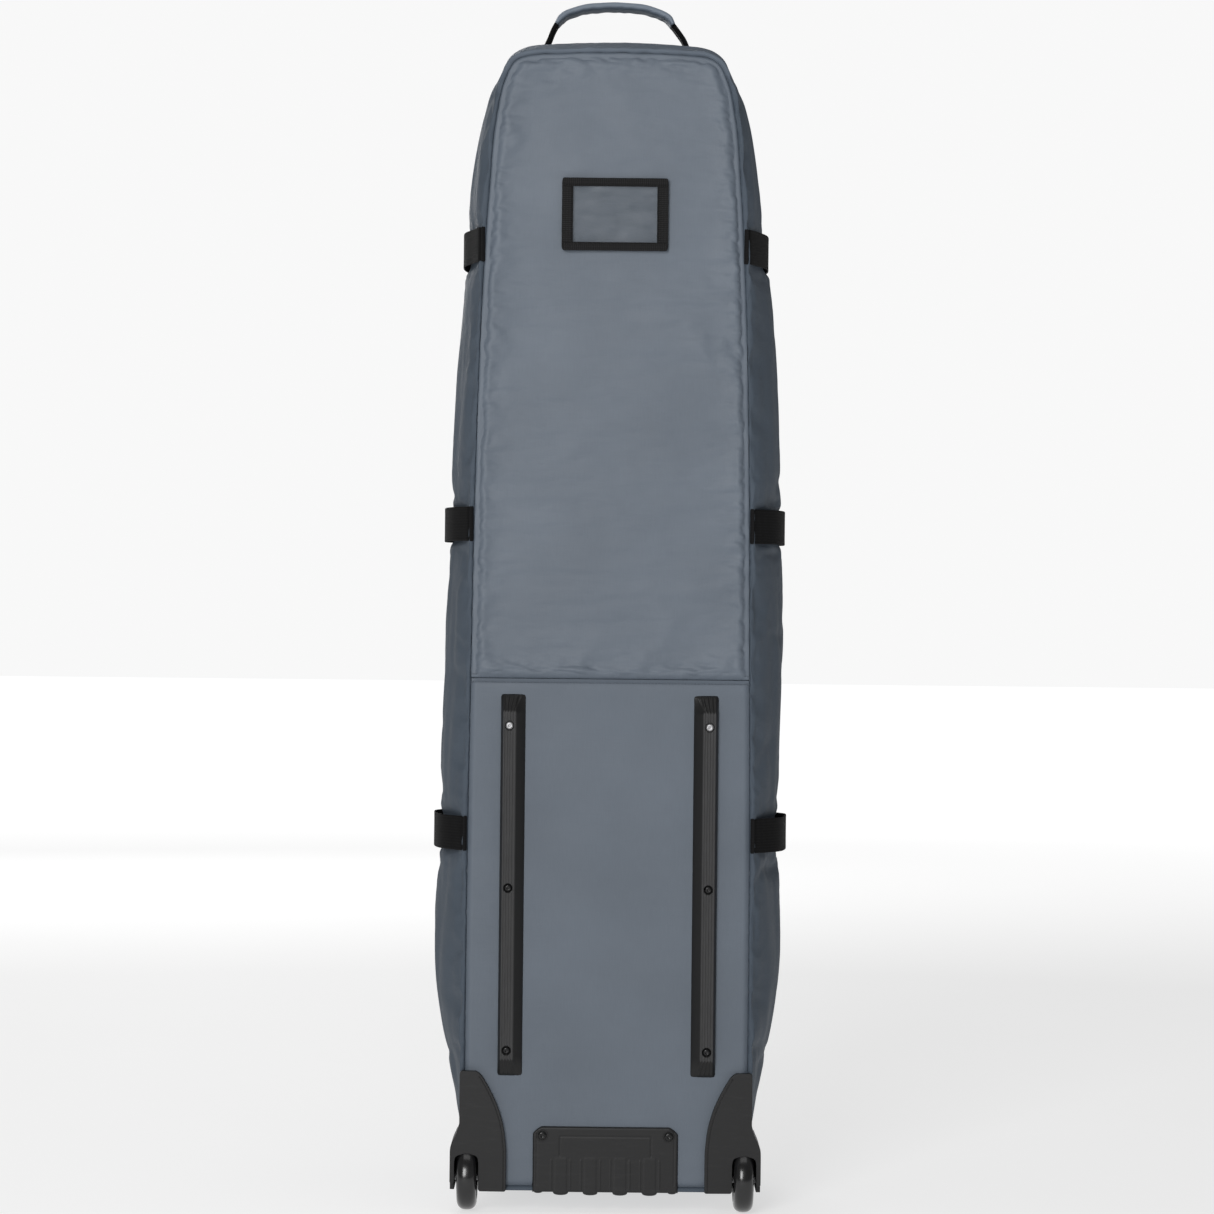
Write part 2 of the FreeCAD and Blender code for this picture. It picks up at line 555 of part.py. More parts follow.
# Main zip: two sliders that meet on the straight right side, each with a cord pull.
SLIDERS = (("upper", "upper_slider_z", "rim_y + 3.5"), ("lower", "lower_slider_z", "rim_y - 3.5"))
for name, z, y in SLIDERS:
    slider = keep(new_body(f"zip_slider_{name}"))
    face = "lid_7_x + tape_thick + 0.3"
    crown = f"{face} + slider_thick"
    half = "slider_length / 2"
    prism_x(slider, [("rim_y - slider_width / 2 + 3", f"{z} - {half}"), ("rim_y + slider_width / 2 - 3", f"{z} - {half}"),
                     ("rim_y + slider_width / 2", f"{z} - {half} + 8"), ("rim_y + slider_width / 2", f"{z} + {half} - 3"),
                     ("rim_y + slider_width / 2 - 2", f"{z} + {half}"), ("rim_y - slider_width / 2 + 2", f"{z} + {half}"),
                     ("rim_y - slider_width / 2", f"{z} + {half} - 3"), ("rim_y - slider_width / 2", f"{z} - {half} + 8")],
            face, crown)
    for offset in ("-3.2", "2"):
        block(slider, crown, f"{crown} + 3", f"{y} + {offset}", f"{y} + {offset} + 1.2", f"{z} - 3", f"{z} + 3")
    pull = keep(new_body(f"zip_pull_{name}"))
    prism_x(pull, [(f"{y} - 1.7", f"{z} - pull_length"), (f"{y} + 1.7", f"{z} - pull_length"),
                   (f"{y} + 1.7", f"{z} + 0.9"), (f"{y} - 1.7", f"{z} + 0.9")],
            f"{crown} + 0.4", f"{crown} + 3")

# ---------------------------------------------------------------- lid pocket
pouch = keep(new_body("front_pocket"))
low_face = rectangle("-pocket_half", "pocket_low", "pocket_half", "pocket_high")
high_face = rectangle("-pocket_half + 7", "pocket_low + 7", "pocket_half - 7", "pocket_high - 7")
loft(pouch, [outline(pouch, "XZ", "front_y", low_face), outline(pouch, "XZ", "pocket_y - 5", low_face),
             outline(pouch, "XZ", "pocket_y", high_face)])
tape = keep(new_body("pocket_zip_tape"))
block(tape, "-100", "100", "pocket_y", "pocket_y + 1", "pocket_zip_z - 8", "pocket_zip_z + 8")
runner = keep(new_body("pocket_slider"))
block(runner, "76", "96", "pocket_y + 1.3", "pocket_y + 3.5", "pocket_zip_z - 5", "pocket_zip_z + 5")
for x in ("78.5", "89.5"):
    block(runner, x, f"{x} + 1.5", "pocket_y + 3.5", "-wheel_y + wheel_radius", "pocket_zip_z - 3", "pocket_zip_z + 3")
tab = keep(new_body("pocket_pull"))
block(tab, "80.5", "89", "pocket_y + 3.8", "-wheel_y + wheel_radius", "pocket_zip_z - 34", "pocket_zip_z + 0.5")

# ---------------------------------------------------------------- checks and files
doc.recompute()
for item in doc.Objects:
    if "Invalid" in item.State or "Error" in item.State:
        raise RuntimeError(f"{item.Label} failed: {item.State}")
labels = [item.Label for item in nodes]
if len(set(labels)) != len(labels):
    raise RuntimeError("two sub-parts share a label")
for item in nodes:
    if item.Shape.isNull() or not item.Shape.isValid() or not item.Shape.Solids:
        raise RuntimeError(f"{item.Label} has no valid solid")

os.makedirs("parts", exist_ok=True)
for item in nodes:
    item.Shape.exportStep(f"parts/{item.Label}.step")
    bb = item.Shape.BoundBox
    print(f"{item.Label:24s} {len(item.Shape.Solids)} x {bb.XMin:8.1f} {bb.XMax:8.1f}  y {bb.YMin:8.1f} {bb.YMax:8.1f}"
          f"  z {bb.ZMin:8.1f} {bb.ZMax:8.1f}")
print(len(nodes), "sub-parts")
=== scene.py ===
import math

import bmesh
import bpy
import numpy as np
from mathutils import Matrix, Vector, noise


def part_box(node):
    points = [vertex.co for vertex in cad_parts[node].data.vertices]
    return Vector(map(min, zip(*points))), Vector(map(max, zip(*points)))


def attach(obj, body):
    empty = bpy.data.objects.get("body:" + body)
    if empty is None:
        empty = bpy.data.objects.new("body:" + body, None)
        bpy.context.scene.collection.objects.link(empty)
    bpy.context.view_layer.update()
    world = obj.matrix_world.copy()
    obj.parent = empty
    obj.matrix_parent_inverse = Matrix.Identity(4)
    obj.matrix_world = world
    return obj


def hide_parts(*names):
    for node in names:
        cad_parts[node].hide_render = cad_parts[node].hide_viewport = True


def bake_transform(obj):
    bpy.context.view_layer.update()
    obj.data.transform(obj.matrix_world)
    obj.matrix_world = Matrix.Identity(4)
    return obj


# Looks for the golf travel case. Shapes are worked out in millimetres in the frame's own axes
# (-Y the wheeled back, +Y the lid, +Z up) and stored in metres.

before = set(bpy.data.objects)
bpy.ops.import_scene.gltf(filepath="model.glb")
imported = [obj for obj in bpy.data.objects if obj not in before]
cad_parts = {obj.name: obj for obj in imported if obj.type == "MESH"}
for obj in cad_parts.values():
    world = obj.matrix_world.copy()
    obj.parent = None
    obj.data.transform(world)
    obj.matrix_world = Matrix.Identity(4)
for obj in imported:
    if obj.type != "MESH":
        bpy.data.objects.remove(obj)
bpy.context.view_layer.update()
MM = 0.001
scene = bpy.context.scene

# ---------------------------------------------------------------- sizes shared with the frame
BACK_Y, BELLY_Y, SHOULDER_Y, RIM_Y = -160.0, -48.0, 22.0, 105.0
HEIGHTS = [28, 62, 130, 185, 240, 400, 600, 800, 1010, 1125, 1215, 1260, 1284, 1296]
BACK = [118, 148, 155, 156, 156, 155.5, 153.5, 151, 145, 138.5, 131, 123, 111.5, 84]
BELLY = [118, 150, 167, 178, 187, 187.5, 185, 181.5, 168.5, 157, 143, 130.5, 117.5, 90]
LID = [125, 152, 158, 158, 158, 158, 158, 158, 158, 156, 145, 132, 118, 90]
DROP = [0] * 10 + [8, 17, 19.5, 24]
STRAPS = {"top": 1062.0, "middle": 755.0, "bottom": 415.0}
BOWS = {"top": (167.5, 171.0), "middle": (185.5, 192.5), "bottom": (194.0, 197.2)}
STRAP_HALF, STRAP_X = 19.0, 160.9
SEAM_Z = 586.0
HOUSING_X, HOUSING_TOP, HOUSING_FRONT_Y = 137.5, 89.0, -106.0
FOOT_STATION, CORNER_STATION, CROWN_STATIONS = 0.7, 11.7, (13, 14)


# ---------------------------------------------------------------- mesh helpers
def add_object(name, verts, faces, uvs=None, smooth=True):
    """A mesh from points in mm. uvs holds one (u, v) in metres per face corner."""
    mesh = bpy.data.meshes.new(name)
    mesh.from_pydata((np.asarray(verts, float) * MM).tolist(), [], [tuple(f) for f in faces])
    if uvs is not None:
        layer = mesh.uv_layers.new(name="metres")
        layer.data.foreach_set("uv", np.asarray(uvs, np.float32).ravel())
    mesh.polygons.foreach_set("use_smooth", [smooth] * len(mesh.polygons))
    mesh.update()
    obj = bpy.data.objects.new(name, mesh)
    scene.collection.objects.link(obj)
    return obj


def lengths(points, closed):
    """Running length along the first axis of a (n, m, 3) grid, averaged over the second."""
    step = np.linalg.norm(np.roll(points, -1, 0) - points, axis=2).mean(1)
    run = np.concatenate([[0], np.cumsum(step)])
    return run if closed else run[:len(points)]


def grid_data(points, closed_u=False, closed_v=False, flip=False, start=0):
    """Vertices, quads and UVs in metres for a (n, m, 3) grid of points."""
    points = np.asarray(points, float)
    nu, nv = points.shape[:2]
    su = lengths(points, closed_u) * MM
    sv = lengths(points.transpose(1, 0, 2), closed_v) * MM
    faces, uvs = [], []
    for i in range(nu if closed_u else nu - 1):
        for j in range(nv if closed_v else nv - 1):
            a, b = (i + 1) % nu, (j + 1) % nv
            quad = [i * nv + j, a * nv + j, a * nv + b, i * nv + b]
            uv = [(su[i], sv[j]), (su[i + 1], sv[j]), (su[i + 1], sv[j + 1]), (su[i], sv[j + 1])]
            if flip:
                quad, uv = quad[::-1], uv[::-1]
            faces.append([start + q for q in quad])
            uvs.extend(uv)
    return points.reshape(-1, 3), faces, uvs


def grid(name, points, **options):
    verts, faces, uvs = grid_data(points, **options)
    return add_object(name, verts, faces, uvs)


def normalise(v):
    return v / np.maximum(np.linalg.norm(v, axis=-1, keepdims=True), 1e-9)


def tangents(path, closed=False):
    if closed:
        return normalise(np.roll(path, -1, 0) - np.roll(path, 1, 0))
    return normalise(np.gradient(path, axis=0))


def sweep_data(path, across, section, closed=False, caps=True, start=0):
    """section is (k, 2): across the ribbon and along its normal, swept along path."""
    path, section = np.asarray(path, float), np.asarray(section, float)
    across = np.broadcast_to(np.asarray(across, float), path.shape)
    t = tangents(path, closed)
    normal = normalise(np.cross(t, across))
    across = normalise(np.cross(normal, t))
    rings = (path[:, None] + across[:, None] * section[None, :, :1]
             + normal[:, None] * section[None, :, 1:])
    verts, faces, uvs = grid_data(rings, closed_u=closed, closed_v=True, start=start)
    if caps and not closed:
        k, n = len(section), len(path)
        for cap in (list(range(k)), list(range(n * k - 1, (n - 1) * k - 1, -1))):
            faces.append([start + c for c in cap])
            uvs.extend([(0, 0)] * k)
    return verts, faces, uvs


def webbing_section(width, thick):
    """A flat strip with rounded, slightly thicker selvedges."""
    w, h = width / 2, thick / 2
    top = [(-w, 0), (-w + 0.35, h * 0.8), (-w + 1.4, h), (-w + 3, h * 0.86), (-w * 0.3, h * 0.86),
           (w * 0.3, h * 0.86), (w - 3, h * 0.86), (w - 1.4, h), (w - 0.35, h * 0.8), (w, 0)]
    return top + [(a, -b) for a, b in reversed(top[1:-1])]


def ribbon(name, path, across, width, thick, closed=False):
    return add_object(name, *sweep_data(path, across, webbing_section(width, thick), closed))


def round_section(radius, count=10):
    angles = np.arange(count) * 2 * math.pi / count
    return np.stack([radius * np.cos(angles), -radius * np.sin(angles)], 1)


def tube(name, path, radius, across, count=10, closed=False):
    return add_object(name, *sweep_data(path, across, round_section(radius, count), closed))


def smooth_path(points, step=3.0, closed=False):
    """Catmull-Rom through a few points, resampled evenly."""
    p = np.asarray(points, float)
    ext = np.vstack([p[-1], p, p[0], p[1]]) if closed else np.vstack([2 * p[0] - p[1], p, 2 * p[-1] - p[-2]])
    out = []
    for i in range(len(ext) - 3):
        a, b, c, d = ext[i:i + 4]
        for f in np.linspace(0, 1, 24, endpoint=False):
            out.append(0.5 * (2 * b + (c - a) * f + (2 * a - 5 * b + 4 * c - d) * f * f
                              + (3 * b - a - 3 * c + d) * f ** 3))
    if not closed:
        out.append(p[-1])
    out = np.array(out)
    run = np.concatenate([[0], np.cumsum(np.linalg.norm(np.diff(out, axis=0), axis=1))])
    want = np.linspace(0, run[-1], max(3, int(run[-1] / step) + 1))
    return np.stack([np.interp(want, run, out[:, k]) for k in range(out.shape[1])], 1)


def lathe(name, profile, centre, axis="x", count=64):
    """profile is (along, radius) pairs of a closed section, turned about the axis through centre."""
    profile = np.asarray(profile, float)
    angle = np.arange(count) * 2 * math.pi / count
    along = np.repeat(profile[None, :, 0], count, 0)
    a = profile[None, :, 1] * np.cos(angle)[:, None]
    b = profile[None, :, 1] * np.sin(angle)[:, None]
    order = {"x": (along, a, b), "y": (b, along, a), "z": (a, b, along)}[axis]
    points = np.stack(order, 2) + np.asarray(centre, float)
    return grid(name, points, closed_u=True, closed_v=True)


def join(name, parts):
    """One mesh from several (verts, faces, uvs)."""
    verts, faces, uvs = [], [], []
    for v, f, uv in parts:
        base = sum(len(x) for x in verts)
        verts.append(np.asarray(v, float))
        faces.extend([[base + q for q in quad] for quad in f])
        uvs.extend(uv)
    return add_object(name, np.vstack(verts), faces, uvs)


def stitch_data(path, normal, pitch=4.2, length=2.9, radius=0.38):
    """Short thread stitches along a line, lying on the cloth."""
    path = smooth_path(path, 0.7)
    run = np.concatenate([[0], np.cumsum(np.linalg.norm(np.diff(path, axis=0), axis=1))])
    parts = []
    for s in np.arange(pitch / 2, run[-1], pitch):
        ends = [np.array([np.interp(s + d, run, path[:, k]) for k in range(3)])
                for d in (-length / 2, -length / 4, length / 4, length / 2)]
        line = np.array([e + np.asarray(normal) * h for e, h in zip(ends, (-0.25, 0.22, 0.22, -0.25))])
        parts.append(sweep_data(line, np.cross(normal, line[-1] - line[0]), round_section(radius, 6)))
    return parts


def finish_piece(obj, body, material, replaces=(), bevel=0, subdivide=0, solid=0):
    obj.data.materials.clear()
    obj.data.materials.append(material)
    if solid:
        mod = obj.modifiers.new("thickness", "SOLIDIFY")
        mod.thickness, mod.offset = solid * MM, -1
    if bevel:
        round_edges(obj, bevel)
    if subdivide:
        mod = obj.modifiers.new("subdivide", "SUBSURF")
        mod.levels = mod.render_levels = subdivide
    if isinstance(body, str):
        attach(obj, body)
    else:
        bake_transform(obj)
    if replaces:
        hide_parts(*replaces)
    return obj


def round_edges(obj, width, segments=3, angle=35):
    mod = obj.modifiers.new("rounding", "BEVEL")
    mod.width, mod.segments = width * MM, segments
    mod.limit_method, mod.angle_limit = "ANGLE", math.radians(angle)
    mod.harden_normals = True


# ---------------------------------------------------------------- the case's own surface
def loop_points(half, dip):
    z = [h - d for h, d in zip(HEIGHTS, DROP)] if dip else HEIGHTS
    right = [(x, y) for x, y in zip(half, z)]
    return np.array(right + [(-x, y) for x, y in reversed(right)], float)


LOOPS = {"back": loop_points(BACK, True), "belly": loop_points(BELLY, False), "lid": loop_points(LID, False)}
COUNT = len(LOOPS["back"])


def loop_at(kind, u):
    """A point of the case's outline at one depth. u runs over the stations, up the right side."""
    p = LOOPS[kind]
    u = np.asarray(u, float) % COUNT
    i = np.minimum(u.astype(int), COUNT - 1)
    f = (u - i)[:, None]
    chord = np.linalg.norm(np.roll(p, -1, 0) - p, axis=1)
    slope = (np.roll(p, -1, 0) - p) / chord[:, None]
    before, after = np.roll(chord, 1)[:, None], chord[:, None]
    tangent = (np.roll(slope, 1, 0) * after + slope * before) / (before + after)
    tangent[0], tangent[-1] = slope[0], slope[-2]
    arch = 0.06 if kind == "back" else 0.085
    for station, rise in zip(CROWN_STATIONS, (arch, -arch)):
        tangent[station] = (-1, rise)
    a, b, ta, tb, h = p[i], p[(i + 1) % COUNT], tangent[i], tangent[(i + 1) % COUNT], chord[i][:, None]
    curve = ((2 * f ** 3 - 3 * f ** 2 + 1) * a + (f ** 3 - 2 * f ** 2 + f) * h * ta
             + (3 * f ** 2 - 2 * f ** 3) * b + (f ** 3 - f ** 2) * h * tb)
    straight = a + (b - a) * f
    return np.where((i == COUNT - 1)[:, None], straight, curve)


def outward(kind, u):
    d = loop_at(kind, u + 0.02) - loop_at(kind, u - 0.02)
    d = normalise(d)
    return np.stack([d[:, 1], -d[:, 0]], 1)


def even_stations(step):
    fine = np.linspace(0, COUNT, 6000)
    p = loop_at("belly", fine)
    run = np.concatenate([[0], np.cumsum(np.linalg.norm(np.diff(p, axis=0), axis=1))])
    return np.interp(np.arange(0, run[-1] - step / 2, step), run, fine)


def monotone(knots, values, y):
    """A curve through (knots, values) that doesn't overshoot. values is (k, n); y is a number."""
    h = np.diff(knots)[:, None]
    d = np.diff(values, axis=0) / h
    m = np.zeros_like(values)
    same = d[:-1] * d[1:] > 0
    m[1:-1] = np.where(same, 2 * d[:-1] * d[1:] / np.where(same, d[:-1] + d[1:], 1), 0)
    m[0], m[-1] = d[0] * 1.35, d[-1]
    k = int(np.clip(np.searchsorted(knots, y) - 1, 0, len(knots) - 2))
    f = (y - knots[k]) / h[k]
    return ((2 * f ** 3 - 3 * f ** 2 + 1) * values[k] + (f ** 3 - 2 * f ** 2 + f) * h[k] * m[k]
            + (3 * f ** 2 - 2 * f ** 3) * values[k + 1] + (f ** 3 - f ** 2) * h[k] * m[k + 1])


def skin(u, y, push=0.0):
    """Points of the tub's side at depth y, pushed outwards in the outline's plane."""
    knots = np.array([BACK_Y, BELLY_Y, SHOULDER_Y, RIM_Y])
    back = loop_at("back", u) + outward("back", u) * 4.0
    rows = [back, loop_at("belly", u), loop_at("lid", u), loop_at("lid", u)]
    xz = np.stack([monotone(knots, np.stack([r[:, k] for r in rows]), y) for k in (0, 1)], 1)
    weight = (y - BACK_Y) / (RIM_Y - BACK_Y)
    out = normalise(outward("back", u) * (1 - weight) + outward("lid", u) * weight)
    xz = xz + out * push
    lean = 5.0 * step_up(xz[:, 1], 470, 640) * (1 - step_up(xz[:, 1], 980, 1130))
    lean = lean * step_up(y, -158, -100) * (1 - step_up(y, -45, 20))
    return np.stack([xz[:, 0] + lean, np.full(len(u), y), xz[:, 1]], 1)


def offset_loop(kind, u, push, y):
    """The outline at stations u, pushed outwards and placed at depth y."""
    xz = loop_at(kind, u) + outward(kind, u) * np.reshape(push, (-1, 1))
    return np.stack([xz[:, 0], np.broadcast_to(np.asarray(y, float), len(u)), xz[:, 1]], 1)


def edge_distance(points, outline):
    """How far each (x, z) is from a closed outline."""
    best = np.full(len(points), 1e9)
    for k in range(0, len(points), 2000):
        gap = np.linalg.norm(points[k:k + 2000, None] - outline[None], axis=2)
        best[k:k + 2000] = gap.min(1)
    return best


def step_up(d, start, end):
    f = np.clip((d - start) / (end - start), 0, 1)
    return f * f * (3 - 2 * f)


def rough(x, y, z, scale, seed=0.0):
    """Smooth noise, -1 to 1, one value per point."""
    return np.array([noise.noise(Vector((a / scale + seed, b / scale - seed, c / scale + 2 * seed)))
                     for a, b, c in zip(np.ravel(x), np.ravel(y), np.ravel(z))]).reshape(np.shape(x))


def let_settle(obj, pins, pressure, grow, cap, frames=16, bending=0.6):
    """Cloth simulation of a sewn panel: its pinned points hold, the cloth is cut slightly long."""
    rest = np.array([v.co for v in obj.data.vertices])
    group = obj.vertex_groups.new(name="pins")
    levels = np.round(np.asarray(pins) * 10) / 10
    for level in np.unique(levels):
        if level > 0:
            group.add(np.nonzero(levels == level)[0].tolist(), float(level), "REPLACE")
    mod = obj.modifiers.new("cloth", "CLOTH")
    s = mod.settings
    s.quality, s.mass = 5, 0.25
    s.tension_stiffness = s.compression_stiffness = 25
    s.shear_stiffness, s.bending_stiffness = 8, bending
    s.tension_damping = s.compression_damping = 8
    s.vertex_group_mass, s.pin_stiffness = "pins", 1
    s.use_pressure, s.uniform_pressure_force = True, pressure
    s.shrink_min = -grow
    s.effector_weights.gravity = 0
    mod.collision_settings.use_collision = False
    mod.point_cache.frame_start, mod.point_cache.frame_end = 1, frames
    for number in range(1, frames + 1):
        scene.frame_set(number)
    shown = obj.evaluated_get(bpy.context.evaluated_depsgraph_get())
    moved = np.array([v.co for v in shown.data.vertices]) - rest
    obj.modifiers.remove(mod)
    obj.vertex_groups.clear()
    scene.frame_set(1)
    size = np.linalg.norm(moved, axis=1, keepdims=True)
    limit = cap * MM
    moved *= np.where(size > 1e-9, limit * np.tanh(size / limit) / np.maximum(size, 1e-9), 0)
    obj.data.vertices.foreach_set("co", (rest + moved).astype(np.float32).ravel())
    obj.data.update()
    return obj


def refine(obj, move, levels=1):
    """Divides a panel's mesh, then moves its points along their normals by move(x, y, z) in mm."""
    mod = obj.modifiers.new("divide", "SUBSURF")
    mod.levels = mod.render_levels = levels
    fine = bpy.data.meshes.new_from_object(obj.evaluated_get(bpy.context.evaluated_depsgraph_get()))
    obj.modifiers.remove(mod)
    fine.name = obj.name
    obj.data = fine
    count = len(fine.vertices)
    points, normals = np.empty(count * 3), np.empty(count * 3)
    fine.vertices.foreach_get("co", points)
    fine.vertices.foreach_get("normal", normals)
    points, normals = points.reshape(-1, 3), normals.reshape(-1, 3)
    x, y, z = (points / MM).T
    points += normals * (move(x, y, z) * MM)[:, None]
    fine.vertices.foreach_set("co", points.astype(np.float32).ravel())
    fine.update()


def drop_faces(obj, test):
    """Removes the faces whose centre, in mm, passes the test."""
    bm = bmesh.new()
    bm.from_mesh(obj.data)
    gone = [f for f in bm.faces if test(*(c / MM for c in f.calc_center_median()))]
    bmesh.ops.delete(bm, geom=gone, context="FACES")
    bm.to_mesh(obj.data)
    bm.free()


def behind_shield(x, y, z):
    """The back's lower corners, where the wheel housings take the cloth's place."""
    return abs(x) > HOUSING_X and z < HOUSING_TOP


def in_housing(x, y, z):
    return behind_shield(x, y, z) and y < HOUSING_FRONT_Y


# ---------------------------------------------------------------- materials
class Material:
    """A few lines' help for building a node material."""

    def __init__(self, name, colour, roughness, metallic=0.0, specular=0.5):
        self.material = bpy.data.materials.new(name)
        self.material.use_nodes = True
        self.tree = self.material.node_tree
        self.shader = self.tree.nodes["Principled BSDF"]
        self.set("Base Color", (*colour, 1))
        self.set("Roughness", roughness)
        self.set("Metallic", metallic)
        self.set("Specular IOR Level", specular)

    def set(self, socket, value):
        self.shader.inputs[socket].default_value = value

    def node(self, kind, inputs=None, **settings):
        made = self.tree.nodes.new("ShaderNode" + kind)
        for key, value in settings.items():
            setattr(made, key, value)
        for key, value in (inputs or {}).items():
            if isinstance(value, bpy.types.NodeSocket):
                self.tree.links.new(value, made.inputs[key])
            else:
                made.inputs[key].default_value = value
        return made

    def where(self, kind="UV"):
        return self.node("TexCoord").outputs[kind]

    def noise(self, place, scale, detail=3.0, roughness=0.5):
        return self.node("TexNoise", {"Vector": place, "Scale": scale, "Detail": detail,
                                      "Roughness": roughness}).outputs["Fac"]

    def wave(self, place, period, direction, distortion=0.0):
        return self.node("TexWave", {"Vector": place, "Scale": 2 * math.pi / 20 / period,
                                     "Distortion": distortion, "Detail": 0.0},
                         bands_direction=direction).outputs["Fac"]

    def math(self, operation, a, b=0.0):
        return self.node("Math", {0: a, 1: b}, operation=operation).outputs[0]

    def ramp(self, factor, low, high, start=0.0, end=1.0):
        made = self.node("ValToRGB", {"Fac": factor})
        ends = made.color_ramp.elements
        ends[0].position, ends[1].position = start, end
        ends[0].color, ends[1].color = (*low, 1), (*high, 1)
        return made.outputs["Color"]

    def spread(self, factor, low, high):
        return self.node("MapRange", {"Value": factor, "To Min": low, "To Max": high}).outputs[0]

    def bump(self, height, strength, distance, before=None):
        inputs = {"Height": height, "Strength": strength, "Distance": distance}
        if before is not None:
            inputs["Normal"] = before
        return self.node("Bump", inputs).outputs[0]

    def link(self, output, socket):
        self.tree.links.new(output, self.shader.inputs[socket])


def tint(colour, factor):
    return tuple(min(1.0, c * factor) for c in colour)


def cloth_material(name, colour, period=0.0011, sheen=0.08, rough_low=0.46, rough_high=0.6, weave=0.22,
                   gloss=0.42, crown=None):
    """Woven nylon with creases; crown is the painted-light colour that it turns to over the top of the case.
    """
    m = Material(name, colour, 0.5, specular=gloss)
    uv, place = m.where(), m.where("Object")
    warp, weft = m.wave(uv, period, "X"), m.wave(uv, period, "Y")
    cross = m.math("MULTIPLY", warp, weft)
    broad = m.noise(place, 7.0, 4.0, 0.55)
    slub = m.noise(m.node("Mapping", {"Vector": uv, "Scale": (60, 900, 1)}).outputs[0], 1.0, 2.0)
    mixed = m.math("ADD", m.math("MULTIPLY", broad, 0.75), m.math("MULTIPLY", slub, 0.25))
    shade = m.ramp(mixed, tint(colour, 0.90), tint(colour, 1.09), 0.3, 0.7)
    # Painted light: above about 1.23 m the colour blends into the crown colour, so the top reads lighter
    # where the light falls.
    if crown:
        height = m.node("SeparateXYZ", {0: place}).outputs["Z"]
        rise = m.node("MapRange", {"Value": height, "From Min": 1.225, "From Max": 1.27}).outputs[0]
        over = m.ramp(mixed, tint(crown, 0.90), tint(crown, 1.09), 0.3, 0.7)
        shade = m.node("Mix", {0: rise, 6: shade, 7: over}, data_type="RGBA").outputs[2]
    m.link(shade, "Base Color")
    m.link(m.spread(m.noise(place, 22.0), rough_low, rough_high), "Roughness")
    soft = m.bump(m.noise(place, 38.0, 3.0), 0.16, 0.002)
    drawn_out = m.node("Mapping", {"Vector": place, "Rotation": (0, 0.12, 0), "Scale": (11, 26, 62)})
    streaks = m.noise(drawn_out.outputs[0], 1.0, 4.0, 0.6)
    soft = m.bump(streaks, 0.3, 0.002, soft)
    thread = m.bump(m.math("ADD", cross, m.math("MULTIPLY", slub, 0.6)), weave, 0.0004, soft)
    m.link(thread, "Normal")
    m.set("Sheen Weight", sheen)
    m.set("Sheen Roughness", 0.45)
    m.set("Sheen Tint", (*tint(colour, 3.2), 1))
    return m.material


def webbing_material(name, colour, rib=0.0021, depth=0.55, space="UV", along="X"):
    m = Material(name, colour, 0.75, specular=0.09)
    uv = m.where(space)
    ribs = m.wave(uv, rib, along, 0.4)
    cords = m.wave(uv, 0.0031, "Y")
    weave = m.math("MULTIPLY", ribs, m.math("ADD", m.math("MULTIPLY", cords, 0.5), 0.5))
    fuzz = m.noise(m.where("Object"), 900.0, 2.0)
    m.link(m.ramp(m.math("ADD", m.math("MULTIPLY", weave, 0.7), m.math("MULTIPLY", fuzz, 0.3)),
                  tint(colour, 0.5), tint(colour, 1.7), 0.15, 0.9), "Base Color")
    m.link(m.bump(weave, depth, 0.0006, m.bump(fuzz, 0.2, 0.0002)), "Normal")
    m.set("Sheen Weight", 0.02)
    m.set("Sheen Roughness", 0.5)
    return m.material


def plastic_material(name, colour, roughness=0.46, grain=1400.0, strength=0.10, worn=1.7):
    m = Material(name, colour, roughness, specular=0.32)
    place = m.where("Object")
    fine = m.noise(place, grain, 2.0, 0.6)
    cells = m.node("TexVoronoi", {"Vector": place, "Scale": grain * 0.6}).outputs["Distance"]
    scuff = m.noise(m.node("Mapping", {"Vector": place, "Scale": (30, 30, 220)}).outputs[0], 1.0, 5.0, 0.7)
    m.link(m.ramp(scuff, colour, tint(colour, worn), 0.52, 0.86), "Base Color")
    m.link(m.spread(m.noise(place, 45.0, 4.0), roughness - 0.08, roughness + 0.1), "Roughness")
    m.link(m.bump(m.math("ADD", fine, cells), strength, 0.0003), "Normal")
    return m.material


def rail_material():
    """Moulded plastic, painted paler along the rail's crest as a painted highlight."""
    colour = (0.009, 0.009, 0.0092)
    m = Material("rail_plastic", colour, 0.42, specular=0.3)
    place = m.where("Object")
    # Painted highlight: the base colour lightens on the rail's raised crest, broken up by noise.
    depth = m.node("SeparateXYZ", {0: place}).outputs["Y"]
    crest = m.node("MapRange", {"Value": depth, "From Min": -0.1708, "From Max": -0.1716}).outputs[0]
    scuff = m.noise(m.node("Mapping", {"Vector": place, "Scale": (120, 30, 40)}).outputs[0], 1.0, 5.0, 0.75)
    crest_highlight = m.math("MULTIPLY", crest, m.spread(scuff, 0.55, 1.25))
    m.link(m.ramp(crest_highlight, colour, (0.04, 0.04, 0.041)), "Base Color")
    m.link(m.spread(m.noise(place, 60.0, 4.0), 0.36, 0.5), "Roughness")
    m.link(m.bump(m.noise(place, 1500.0, 2.0), 0.08, 0.0003), "Normal")
    return m.material


def metal_material(name, colour, roughness=0.32):
    m = Material(name, colour, roughness, metallic=0.9)
    place = m.where("Object")
    m.link(m.spread(m.noise(place, 300.0, 4.0, 0.7), roughness - 0.1, roughness + 0.18), "Roughness")
    m.link(m.ramp(m.noise(place, 90.0, 3.0), tint(colour, 0.8), tint(colour, 1.1), 0.3, 0.7), "Base Color")
    m.link(m.bump(m.noise(place, 1500.0, 2.0), 0.06, 0.0002), "Normal")
    return m.material


